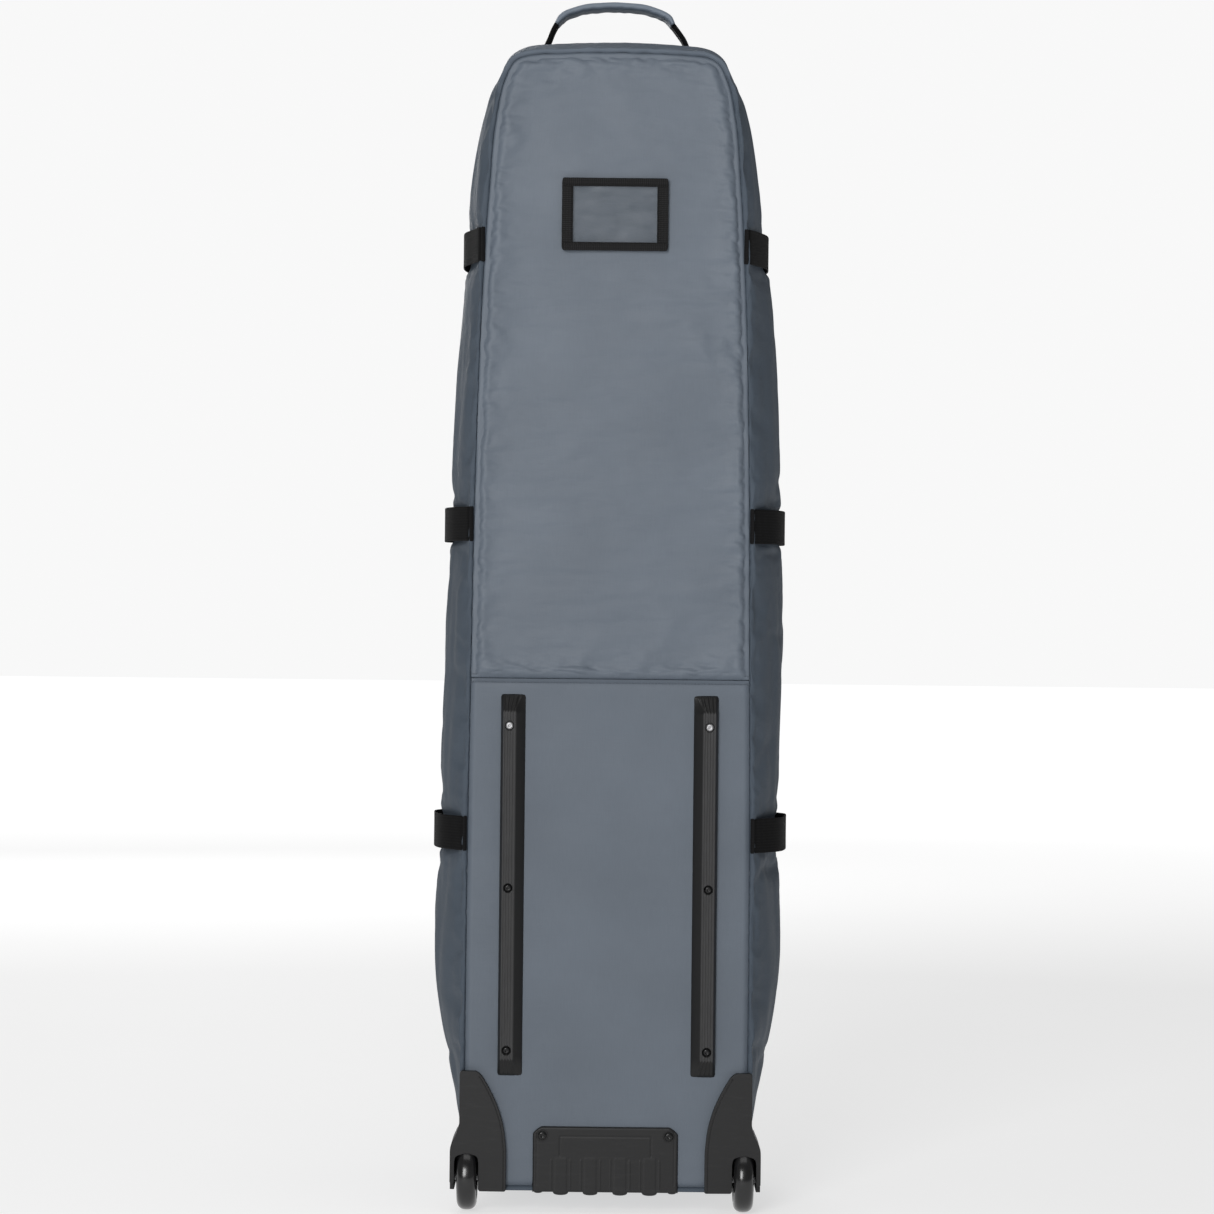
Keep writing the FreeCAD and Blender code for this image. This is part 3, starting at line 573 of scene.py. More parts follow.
def wheel_material():
    """Glossy urethane with a little dust."""
    colour = (0.005, 0.005, 0.0055)
    m = Material("wheel_urethane", colour, 0.2, specular=0.5)
    place = m.where("Object")
    dust = m.noise(place, 60.0, 5.0, 0.65)
    m.link(m.ramp(dust, colour, tint(colour, 2.2), 0.5, 0.85), "Base Color")
    m.link(m.spread(dust, 0.12, 0.34), "Roughness")
    m.link(m.bump(m.noise(place, 500.0, 3.0), 0.04, 0.0003), "Normal")
    m.set("Coat Weight", 0.25)
    m.set("Coat Roughness", 0.12)
    return m.material


def film_material():
    """Clear film with cloudy streaks."""
    m = Material("clear_film", (0.16, 0.18, 0.21), 0.12, specular=0.3)
    place = m.where("Object")
    slanted = m.node("Mapping", {"Vector": place, "Rotation": (0, 0.5, 0), "Scale": (30, 30, 75)}).outputs[0]
    cloudy = m.noise(slanted, 1.0, 5.0, 0.6)
    m.link(m.ramp(cloudy, (0.11, 0.13, 0.15), (0.24, 0.26, 0.29), 0.35, 0.7), "Base Color")
    m.link(m.spread(m.noise(place, 60.0), 0.08, 0.24), "Roughness")
    m.link(m.bump(m.noise(m.node("Mapping", {"Vector": place, "Scale": (22, 22, 60)}).outputs[0], 1.0, 3.0),
                  0.35, 0.002), "Normal")
    m.set("Alpha", 0.2)
    return m.material


GREY = (0.112, 0.135, 0.166)
BLACK = (0.0035, 0.0035, 0.0038)
cloth = cloth_material("grey_fabric", GREY)
# Painted shade: the side gussets are a darker copy of the grey cloth, standing in for sides turned away from
# the light; their crown colour is the panel grey again, a painted lighter top.
cloth_side_painted_shade = cloth_material("grey_fabric_side_painted_shade", (0.064, 0.081, 0.103), sheen=0.02, rough_low=0.54,
                            rough_high=0.68, gloss=0.16, crown=tint(GREY, 0.95))
# Painted light: the handle's wrap is a lighter copy of the grey cloth, standing in for the light it catches
# on top of the case.
cloth_handle_painted_light = cloth_material("grey_fabric_handle_painted_light", tint(GREY, 1.42))
cloth_stiff = cloth_material("grey_fabric_lower", tint(GREY, 0.93), rough_low=0.5, rough_high=0.64,
                             weave=0.18)
thread = cloth_material("grey_thread", tint(GREY, 0.8), period=0.0006)
lining = cloth_material("lining_fabric", (0.02, 0.021, 0.023), period=0.0016, sheen=0.1, rough_low=0.55,
                        rough_high=0.7)
webbing = webbing_material("black_webbing", BLACK)
webbing_grey = webbing_material("faded_webbing", (0.016, 0.016, 0.0165), depth=0.8)
binding = webbing_material("black_binding", (0.008, 0.008, 0.0085), rib=0.0012, depth=0.3)
webbing_solid = webbing_material("black_webbing_upright", BLACK, space="Object", along="Z")
tape_solid = webbing_material("black_tape_level", (0.008, 0.008, 0.0085), 0.0012, 0.3, "Object", "X")
moulded = plastic_material("moulded_plastic", (0.012, 0.012, 0.0125))
rail_plastic = rail_material()
acetal = plastic_material("buckle_plastic", (0.009, 0.009, 0.0095), roughness=0.34, strength=0.04, worn=1.3)
sheet_plastic = plastic_material("inner_sheet", (0.022, 0.022, 0.024), roughness=0.5, strength=0.16)
steel = metal_material("rivet_steel", (0.46, 0.46, 0.47), 0.46)
dark_metal = metal_material("dark_metal", (0.05, 0.05, 0.052), 0.36)
urethane = wheel_material()
gloss = plastic_material("gloss_black", (0.008, 0.008, 0.0085), roughness=0.2, strength=0.02, worn=1.2)
film = film_material()

# ---------------------------------------------------------------- the tub's soft panels
stations = even_stations(6.0)
CENTRE = np.array([0.0, 0.0, 660.0])


def strap_hold(points):
    """1 where a compression strap presses on the cloth, 0 away from it."""
    hold = np.zeros(points.shape[:-1])
    for z in STRAPS.values():
        near = 1 - step_up(np.abs(points[..., 2] - z), STRAP_HALF - 3, STRAP_HALF + 4)
        hold = np.maximum(hold, near * (np.abs(points[..., 0]) > 110))
    return hold


def case_gusset():
    """The tub's wall: a lip over the back seam, then one panel round to the zip."""
    lip = [(-1.0, -155.5), (-0.6, -158.0), (0.6, -160.2), (2.2, -161.3), (3.8, -161.2), (5.2, -160.0)]
    rows = [offset_loop("back", stations, push, y) for push, y in lip]
    depths = np.concatenate([[-157.0, -153.0, -148.0], np.arange(-142.0, RIM_Y - 3, 6.2), [RIM_Y - 0.6]])
    for y in depths:
        rows.append(skin(stations, y, 0.0))
    points = np.stack(rows, 1)
    side = np.abs(points[..., 0]) > 100
    hold = strap_hold(points) * (points[..., 1] > -150) * side
    centre_pull = normalise(points * [1, 0, 1] - CENTRE * [0, 0, 1])
    points -= centre_pull * (1.2 * hold)[..., None]
    obj = grid("case_gusset", points, closed_u=True, flip=True)
    pins = np.zeros(points.shape[:2])
    pins[:, :3] = 1
    pins[:, -3:] = 1
    pins = np.maximum(pins, 0.8 * hold)
    pins = np.maximum(pins, (points[..., 2] < 40) * 1.0)
    pins = np.maximum(pins, step_up(points[..., 1], 12, 40) * 0.9)
    pins = np.maximum(pins, (points[..., 2] < 165) * (points[..., 1] < -95) * 1.0)
    pins = np.maximum(pins, 0.85 * step_up(points[..., 2], 1235, 1270))
    let_settle(obj, pins.ravel(), pressure=1.2, grow=0.022, cap=6.5, frames=16, bending=0.5)

    def folds(x, y, z):
        free = step_up(y, -156.5, -140) * (1 - step_up(y, 0, 36))
        strap = np.zeros(len(x))
        held = np.ones(len(x))
        for level in STRAPS.values():
            gap = np.abs(z - level) - STRAP_HALF
            strap = np.maximum(strap, np.exp(-np.clip(gap, 0, None) / 26.0))
            held = np.minimum(held, step_up(gap, -1, 7))
        long = rough(y * 1.0, x * 0, z * 0.16, 21.0, 31.0)
        slant = rough(y * 0.9 + z * 0.28, x * 0.2, z * 0.10 - y * 0.3, 24.0, 47.0)
        gather = rough(y * 0.5, x * 0, z, 8.5, 12.0) * strap
        seam = np.exp(-np.clip(y + 157, 0, None) / 14.0)
        pucker = rough(x * 0.5, y * 0.2, z, 6.5, 23.0)
        high = step_up(z, 60, 130)
        return (held * high * free * (1.7 * long + 1.5 * slant + 1.3 * gather)
                + 1.1 * pucker * seam * held * high)

    refine(obj, folds)
    drop_faces(obj, in_housing)
    finish_piece(obj, "case", cloth_side_painted_shade, ["rear_shell"], solid=1.2)
    return obj


def panel_grid(low, high, margin, side_steps, row_steps):
    """Rows across the back between two heights, closer together near the edges."""
    u = np.linspace(0, len(HEIGHTS) - 1, 900)
    edge = loop_at("back", u)
    top = edge[:, 1].max()
    first, last = low + row_steps[0], high - row_steps[1][::-1]
    zs = np.concatenate([first, np.arange(low + row_steps[0][-1] + 5.5, high - row_steps[1][-1], 5.5), last])
    rows = []
    for z in zs:
        half = np.interp(min(z, top), edge[:, 1], edge[:, 0]) - margin
        inner = half - side_steps[-1]
        mid = np.linspace(-inner, inner, 47)
        rows.append(np.concatenate([-(half - side_steps), mid[1:-1], (half - side_steps)[::-1]]))
    x = np.array(rows)
    z = np.repeat(zs[:, None], x.shape[1], 1)
    return x, z


SIDE_STEPS = np.array([0.0, 1.5, 3.2, 5.0, 7.0, 9.0, 12.0, 16.0, 21.0, 26.0])


def back_outline(margin):
    u = np.linspace(0, COUNT, 2400)
    return loop_at("back", u) - outward("back", u) * margin


def edge_run(kind, inset, start, end, fractions):
    """Points on an inset outline between two stations, at fractions of its length."""
    u = np.linspace(start, end, 1500)
    p = loop_at(kind, u) - outward(kind, u) * inset
    run = np.concatenate([[0], np.cumsum(np.linalg.norm(np.diff(p, axis=0), axis=1))])
    want = fractions * run[-1]
    return np.stack([np.interp(want, run, p[:, k]) for k in (0, 1)], 1)


def fractions(length, step):
    """Evenly spaced across a panel but closer together near its two edges."""
    inner = np.linspace(SIDE_STEPS[-1], length - SIDE_STEPS[-1], int((length - 2 * SIDE_STEPS[-1]) / step))
    return np.concatenate([SIDE_STEPS[:-1], inner, length - SIDE_STEPS[-2::-1]]) / length


def four_sided(left, right, bottom, top, s, t):
    """A grid of (x, z) filling the space between four edge lines, rows from the bottom up."""
    s, t = s[None, :, None], t[:, None, None]
    rows = (1 - s) * left[:, None] + s * right[:, None]
    columns = (1 - t) * bottom[None] + t * top[None]
    corners = ((1 - s) * (1 - t) * bottom[0] + s * (1 - t) * bottom[-1]
               + (1 - s) * t * top[0] + s * t * top[-1])
    return rows + columns - corners


def within_outline(kind, inset, s, t):
    """A grid of (x, z) that fills an outline from its foot to its crown."""
    foot, corner, last = FOOT_STATION, CORNER_STATION, COUNT - 1
    right = edge_run(kind, inset, foot, corner, t)
    left = edge_run(kind, inset, last - foot, last - corner, t)
    top = edge_run(kind, inset, last - corner, corner, s)
    bottom = edge_run(kind, inset, last - foot, COUNT + foot, s)
    return four_sided(left, right, bottom, top, s, t)


def creases(x, z, d, seed):
    """Soft ripples that run across a padded panel, and puckers that fade in from its seams."""
    across = rough(x * 0.22, x * 0, z + 14 * rough(x, x * 0, z * 0, 130.0, seed), 17.0, seed + 2)
    slant = rough(x * 0.5 + z * 0.35, x * 0, z - x * 0.3, 30.0, seed + 5)
    patchy = 0.5 + 0.5 * rough(x, x * 0, z, 110.0, seed + 8)
    near = np.exp(-np.clip(d - 8, 0, None) / 22.0)
    pucker = rough(x * 0.15, x * 0, z, 7.5, seed + 11)
    return 0.75 * across * patchy + 0.45 * slant * (1 - patchy) + 1.1 * pucker * near


def station_at(kind, z):
    u = np.linspace(0, 12, 2000)
    return float(np.interp(z, loop_at(kind, u)[:, 1], u))


def upper_panel():
    """The padded panel above the cross seam."""
    low, corner = SEAM_Z + 0.5, CORNER_STATION
    start = station_at("back", low)
    s, t = fractions(300.0, 5.0), fractions(680.0, 5.0)
    right = edge_run("back", 1.0, start, corner, t)
    left = edge_run("back", 1.0, COUNT - 1 - start, COUNT - 1 - corner, t)
    top = edge_run("back", 1.0, COUNT - 1 - corner, corner, s)
    bottom = left[:1] * (1 - s[:, None]) + right[:1] * s[:, None]
    xz = four_sided(left, right, bottom, top, s, t)
    x, z = xz[..., 0], xz[..., 1]
    d = edge_distance(xz.reshape(-1, 2), back_outline(1.0)).reshape(x.shape)
    seam = z - low
    uneven = rough(x, z * 0, z, 9.0, 3.1)
    pad = step_up(d + uneven * 3.0, 5.5, 10.5) * step_up(seam + uneven, 0.0, 7.0)
    y = -156.6 - 1.8 * step_up(d, 0, 1.5) * step_up(seam, 0, 1.2) - 4.6 * pad
    y -= 1.2 * step_up(d, 20, 110) * step_up(seam, 20, 120)
    y -= 2.5 * creases(x, z, np.minimum(d, seam), 1.7) * step_up(np.minimum(d, seam), 3, 12)
    obj = grid("back_panel_upper", np.stack([x, y, z], 2))
    pins = 1 - step_up(d, 4.5, 9.0) * step_up(seam, 2.0, 7.0)
    let_settle(obj, pins.ravel(), pressure=0.8, grow=0.012, cap=2.6, frames=16, bending=0.4)
    outline = back_outline(1.0)

    def puckers(x, y, z):
        d = np.minimum(edge_distance(np.stack([x, z], 1), outline), z - low)
        near = step_up(d, 4.5, 8) * np.exp(-np.clip(d - 8, 0, None) / 13.0)
        side = rough(x * 0.22, x * 0, z + x * 0.12, 4.6, 61.0) + 0.6 * rough(x * 0.3, x * 0, z, 2.6, 71.0)
        fine = rough(x * 0.25, x * 0, z + 6 * rough(x, x * 0, z, 60.0, 3.0), 6.5, 81.0)
        return 2.1 * side * near + 0.4 * fine * step_up(d, 8, 20)

    refine(obj, puckers)
    finish_piece(obj, "case", cloth, ["back_pad"], subdivide=1, solid=1.0)
    return obj


def lower_panel():
    """The stiffened panel under the skid rails."""
    low, high = 28.5, SEAM_Z - 0.5
    x, z = panel_grid(low, high, 1.0, SIDE_STEPS,
                      (np.array([0, 1.5, 3.5, 6, 10, 15]), np.array([0, 1.2, 3.0, 5.5, 9, 13])))
    flat = np.stack([x.ravel(), z.ravel()], 1)
    d = edge_distance(flat, back_outline(1.0)).reshape(x.shape)
    seam = high - z
    y = -156.8 - 3.2 * step_up(d, 0, 5.0) * step_up(seam, 0, 7.0)
    y -= 0.45 * rough(x, z * 0, z, 90.0, 5.2) * step_up(d, 5, 30) * step_up(seam, 5, 30)
    y -= 0.25 * rough(x, z * 0, z, 30.0, 8.2) * step_up(seam, 0, 10) * (1 - step_up(seam, 30, 120))
    obj = grid("back_panel_lower", np.stack([x, y, z], 2))
    drop_faces(obj, behind_shield)
    return finish_piece(obj, "case", cloth_stiff, ["rear_shell"], subdivide=1, solid=1.0)


def piping():
    """A corded edge in the back seam."""
    path = offset_loop("back", stations[stations <= COUNT - 1], -0.2, -155.9)
    obj = tube("back_seam_piping", path, 1.3, (0, 1, 0), 8)
    drop_faces(obj, behind_shield)
    return finish_piece(obj, "case", thread, subdivide=1)


def flat_inside(name, kind, inset, y, flip=False):
    """A flat lining panel within an outline."""
    s, t = np.linspace(0, 1, 20), np.linspace(0, 1, 70)
    xz = within_outline(kind, inset, s, t)
    ripple = 0.8 * rough(xz[..., 0], xz[..., 0] * 0, xz[..., 1] * 0.6, 60.0, 14.0)
    return grid(name, np.stack([xz[..., 0], y + ripple, xz[..., 1]], 2), flip=flip)


def linings():
    """Dark cloth inside the tub and the lid."""
    u = even_stations(14.0)
    depths = [-151.0, *np.arange(-140.0, 81.0, 20.0), RIM_Y - 0.8]
    rows = [skin(u, y, -9.2 - (4.0 if y < -150 else 0)) for y in depths]
    wall = grid("case_lining", np.stack(rows, 1), closed_u=True)
    drop_faces(wall, in_housing)
    finish_piece(wall, "case", lining, solid=0.8, subdivide=1)
    back = flat_inside("back_lining", "back", 9.5, -152.0)
    finish_piece(back, "case", lining, solid=0.8)
    profile = ((-9.2, RIM_Y + 0.8), (-9.2, 120), (-9.4, 134), (-12, 145), (-19, 152), (-28, 155.5))
    inner = [offset_loop("lid", u, push, y) for push, y in profile]
    lid_wall = grid("lid_lining", np.stack(inner, 1), closed_u=True)
    finish_piece(lid_wall, "lid", lining, solid=0.8, subdivide=1)
    face = flat_inside("lid_front_lining", "lid", 27.0, 155.4, flip=True)
    finish_piece(face, "lid", lining, solid=0.8)


def rim_binding(name, y, direction, body):
    """Binding tape folded over the edge of a padded wall."""
    u = even_stations(8.0)
    profile = ((0.5, 4.5), (0.6, 1.6), (0.0, 0.35), (-2.5, 0.1), (-6.5, 0.1), (-9.0, 0.35), (-9.9, 1.6),
               (-9.8, 5.5))
    rows = [offset_loop("lid", u, push, y + direction * lift) for push, lift in profile]
    obj = grid(name, np.stack(rows, 1), closed_u=True, flip=direction < 0)
    return finish_piece(obj, body, binding, solid=0.5, subdivide=1)


def zip_half(name, y0, y1, teeth_y, body, node):
    """A zip tape with its row of teeth, all round but for the hinge side."""
    u = even_stations(2.4)
    keep = (u < COUNT - 10.05) | (u > COUNT - 2.0)
    start = np.argmax(~keep)
    u = np.roll(u, -start)
    u = u[np.roll(keep, -start)]
    profile = ((0.1, y0), (0.9, y0), (1.05, (y0 + y1) / 2), (0.9, y1), (0.1, y1))
    tape = grid(name, np.stack([offset_loop("lid", u, push, y) for push, y in profile], 1), flip=y1 < y0)
    finish_piece(tape, body, binding, [node])
    bump = 0.55 + 0.45 * (np.arange(len(u)) % 2)
    tooth = ((-1.4, 0.4), (-1.2, 1.5), (0.0, 1.9), (1.2, 1.5), (1.4, 0.4))
    rows = [offset_loop("lid", u, 0.5 + b * bump, teeth_y + a * (0.75 + 0.25 * bump)) for a, b in tooth]
    teeth = grid(name.replace("tape", "teeth"), np.stack(rows, 1), flip=True)
    return finish_piece(teeth, body, acetal)


case_gusset()
upper_panel()
lower_panel()
piping()
linings()
rim_binding("case_rim_binding", RIM_Y - 0.4, -1, "case")
rim_binding("lid_rim_binding", RIM_Y + 0.4, 1, "lid")
zip_half("case_zip_tape_cloth", 93.0, RIM_Y - 0.3, RIM_Y - 2.0, "case", "case_zip_tape")
zip_half("lid_zip_tape_cloth", 117.0, RIM_Y + 0.3, RIM_Y + 2.0, "lid", "lid_zip_tape")


# ---------------------------------------------------------------- lid
def lid_skin():
    """The lid's wall, turning in over its front corner."""
    profile = [(0.0, RIM_Y + 0.6), (0.0, 111.0), (0.0, 118.0), (0.0, 125.0), (-0.2, 132.0), (-1.0, 138.0),
               (-2.6, 144.0), (-5.2, 149.5), (-8.8, 154.5), (-12.0, 157.6), (-14.0, 158.9), (-15.2, 158.6),
               (-16.0, 157.0)]
    points = np.stack([offset_loop("lid", stations, push, y) for push, y in profile], 1)
    obj = grid("lid_gusset", points, closed_u=True, flip=True)
    pins = np.zeros(points.shape[:2])
    pins[:, :4] = 1
    pins[:, -2:] = 1
    pins = np.maximum(pins, 0.9 * strap_hold(points))
    let_settle(obj, pins.ravel(), pressure=0.8, grow=0.015, cap=2.4, frames=12)
    finish_piece(obj, "lid", cloth, ["front_lid"], subdivide=1, solid=1.2)


def lid_front():
    """The padded front of the lid and the piping round it."""
    u = np.linspace(0, COUNT, 2400)
    edge = loop_at("lid", u) - outward("lid", u) * 16.0
    s, t = fractions(290.0, 6.0), fractions(1230.0, 6.0)
    xz = within_outline("lid", 16.0, s, t)
    x, z = xz[..., 0], xz[..., 1]
    d = edge_distance(xz.reshape(-1, 2), edge).reshape(x.shape)
    hold = np.zeros(x.shape)
    for level in STRAPS.values():
        hold = np.maximum(hold, 1 - step_up(np.abs(z - level), STRAP_HALF - 2, STRAP_HALF + 12))
    y = 157.2 + 1.8 * step_up(d, 0, 1.5) + 5.2 * step_up(d, 3, 20) + 0.8 * step_up(d, 30, 120)
    y -= 1.0 * hold * step_up(d, 3, 20)
    y += 0.8 * creases(x, z, d, 9.1) * step_up(d, 4, 14) * (1 - hold)
    obj = grid("lid_front_panel", np.stack([x, y, z], 2), flip=True)
    pins = np.maximum(1 - step_up(d, 4, 9), 0.9 * hold)
    flat = (np.abs(x) < 118) & (z > 443) & (z < 727)
    pins = np.maximum(pins, flat * 1.0)
    let_settle(obj, pins.ravel(), pressure=0.8, grow=0.012, cap=2.0, frames=12)
    finish_piece(obj, "lid", cloth, ["front_lid"], subdivide=1, solid=1.0)
    line = offset_loop("lid", stations, -15.0, 159.6)
    cord = tube("lid_seam_piping", line, 1.7, (0, 1, 0), 8, closed=True)
    finish_piece(cord, "lid", thread, subdivide=1)


lid_skin()
lid_front()


def hinge_strip():
    """The lid's fabric hinge: a strip sewn to both rims down the left side."""
    zs = np.arange(62.0, 1126.0, 6.0)
    ys = np.array([94.0, 96.0, 99.0, 101.5, 103.5, 105.0, 106.5, 108.5, 111.0, 114.0, 116.0])
    lift = np.array([0.3, 0.9, 1.1, 1.3, 1.6, 1.9, 1.6, 1.3, 1.1, 0.9, 0.3])
    u = np.interp(zs, HEIGHTS, range(len(HEIGHTS)))
    x = -(loop_at("lid", u)[:, 0][:, None] + lift[None])
    points = np.stack([x, np.repeat(ys[None], len(zs), 0), np.repeat(zs[:, None], len(ys), 1)], 2)
    obj = grid("lid_fabric_hinge", points)
    body = ("case", "lid", (-0.16, 0.1005, 0.6), (-0.16, 0.1095, 0.6))
    finish_piece(obj, body, binding, solid=0.5)


hinge_strip()


# ---------------------------------------------------------------- straps
def seam_half(z):
    """How far out the back seam is at a strap's height."""
    return float(np.interp(z, HEIGHTS[:10], BACK[:10]))


def strap_side(name, sign, end):
    """A strap's line from the back seam over the belly and along the side, at mid-thickness."""
    z = STRAPS[name]
    seam = seam_half(z)
    bow = BOWS[name][sign > 0]
    knots = [(seam + 3.2, -161.0), (seam + 7.0, -157.5), (bow - 10.0, -128.0), (bow - 1.5, -98.0),
             (bow + 1.2, -66.0), (bow + 0.6, -40.0), (bow * 0.62 + 161.6 * 0.38, -14.0),
             (STRAP_X, 27.0), (STRAP_X, 50.0), (STRAP_X, end)]
    return [(sign * x, y, z) for x, y in knots]


def straps():
    """Three compression straps, each a right run and a long run over the lid."""
    upright, wide, thick, front_y = (0, 0, 1), 38.0, 2.0, 167.2
    for name, z in STRAPS.items():
        path = smooth_path(strap_side(name, 1, 95.0), 4.0)
        right = ribbon(f"strap_{name}_right", path, upright, wide, thick)
        finish_piece(right, "case", webbing, [f"case_strap_{name}"], subdivide=1)
        front = [(-STRAP_X, 104.0, z), (-STRAP_X, 112.0, z), (-STRAP_X, 128.0, z), (-159.8, 140.0, z),
                 (-154.0, 152.0, z), (-145.0, 161.5, z), (-134.0, front_y - 1.0, z),
                 (-110.0, front_y - 0.2, z), (-60.0, front_y, z)]
        path = strap_side(name, -1, 100.0) + front + [(0.0, front_y, z)]
        path += [(-x, y, z) for x, y, z in reversed(front) if y > 116] + [(STRAP_X, 116.5, z)]
        body = ("case", "lid", (-0.16, 0.099, z * MM), (-0.16, 0.111, z * MM))
        long = ribbon(f"strap_{name}_left_and_front", smooth_path(path, 4.0), upright, wide, thick)
        finish_piece(long, body, webbing, [f"case_strap_{name}", f"lid_strap_{name}"], subdivide=1)
        seam = seam_half(z)
        for sign, side in ((-1, "left"), (1, "right")):
            turn = [(seam + 0.6, -158.8), (seam + 1.8, -161.3), (seam + 3.6, -162.6), (seam + 5.0, -161.8)]
            line = smooth_path([(sign * x, y, z) for x, y in turn], 1.2)
            tab = ribbon(f"strap_{name}_{side}_end", line, upright, 38.6, 1.5)
            finish_piece(tab, "case", binding, subdivide=1)


straps()


# ---------------------------------------------------------------- skid rails and rivets
def rail(side, sign):
    """A skid rail with a fluted crest, sloping ends and three rivet seats."""
    inner, outer = 92.5, 119.5
    crest_out, crest_in = outer - 3.0, outer - 3.0 - 13.5
    low, high = 149.5, 568.5
    rivets = (178.0, 356.0, 534.0)
    rivet_x = (crest_out + crest_in) / 2
    across = np.concatenate([np.linspace(inner, crest_in - 0.3, 14), np.linspace(crest_in, crest_out, 40),
                             np.linspace(crest_out + 0.3, outer, 8)])
    rows = np.concatenate([np.linspace(low, low + 26, 27), np.arange(low + 29, high - 28, 4.0),
                           np.linspace(high - 26, high, 27)]
                          + [np.linspace(r - 7, r + 7, 19) for r in rivets])
    rows = np.unique(np.round(rows, 2))
    ends = np.minimum(rows - low, high - rows)
    ramp = np.clip(ends / 20.0, 0, 1)[:, None]
    crest = 3.0 + 9.0 * ramp
    x = np.repeat(across[None], len(rows), 0)
    z = np.repeat(rows[:, None], len(across), 1)
    up_in = np.clip((x - inner) / (crest_in - inner), 0, 1)
    up_out = np.clip((outer - x) / (outer - crest_out), 0, 1)
    height = 1.6 + (crest - 1.6) * np.minimum(up_in ** 0.9, up_out ** 0.6)
    spread = 1 + 0.75 * (1 - ramp)
    centre = rivet_x * ramp + (inner + outer) / 2 * (1 - ramp)
    place = (x - centre) / (6.75 * spread)
    ribs = np.cos(place * math.pi * 4.5) * (np.abs(place) < 0.98)
    flute = np.where(ribs > 0, 1, -1) * (np.abs(place) < 0.97) * (0.35 + 0.65 * np.abs(ribs))
    height = height + 0.35 * flute - 0.35
    bore = np.full(x.shape, 1e9)
    for r in rivets:
        bore = np.minimum(bore, np.hypot(x - rivet_x, z - r))
    height = np.where(bore < 5.1, np.minimum(height, crest - 3.4 * (1 - step_up(bore, 4.7, 5.2))), height)
    corner = np.minimum(1, np.sqrt(np.clip(ends / 3.0, 0, 1)))[:, None]
    middle = (inner + outer) / 2
    x = middle + (x - middle) * (0.86 + 0.14 * corner)
    height = height * (0.25 + 0.75 * corner)
    y = BACK_Y - 0.2 - np.clip(height, 0.3, 12.0)
    points = np.stack([sign * x, y, z], 2)
    skirt = points.copy()
    skirt[..., 1] = BACK_Y + 1.0
    full = np.concatenate([skirt[:, :1], points, skirt[:, -1:]], 1)
    first, last = (end * [1, 0, 1] + [0, BACK_Y + 1.0, 0] for end in (full[:1], full[-1:]))
    full = np.concatenate([first, full, last], 0)
    obj = grid(f"skid_rail_{side}_moulding", full, flip=sign < 0)
    finish_piece(obj, "case", rail_plastic, [f"skid_rail_{side}"])


for side, sign in (("left", -1), ("right", 1)):
    rail(side, sign)


def rivet_data(x, y, z, radius, rise, count=28):
    """A domed rivet head facing the back, with a small centre mark."""
    profile = [(0.0, radius), (-rise * 0.35, radius), (-rise * 0.75, radius * 0.86), (-rise, radius * 0.6),
               (-rise * 1.02, radius * 0.34), (-rise * 0.8, radius * 0.26), (-rise * 0.78, 0.01)]
    profile = np.array(profile)
    angle = np.arange(count) * 2 * math.pi / count
    a = profile[None, :, 1] * np.cos(angle)[:, None] + x
    b = profile[None, :, 1] * np.sin(angle)[:, None] + z
    c = np.repeat(profile[None, :, 0], count, 0) + y
    return grid_data(np.stack([a, c, b], 2), closed_u=True, flip=True)


RAIL_CREST_X = 119.5 - 3.0 - 6.75
light = join("rail_rivets_plain", [rivet_data(s * RAIL_CREST_X, -168.6, 534.0, 4.5, 2.6) for s in (-1, 1)])
finish_piece(light, "case", steel, ["rail_rivets"])
dark = join("rail_rivets_black", [rivet_data(s * RAIL_CREST_X, -168.6, z, 4.2, 2.6)
                                  for s in (-1, 1) for z in (356.0, 178.0)])
finish_piece(dark, "case", gloss, ["rail_rivets"])


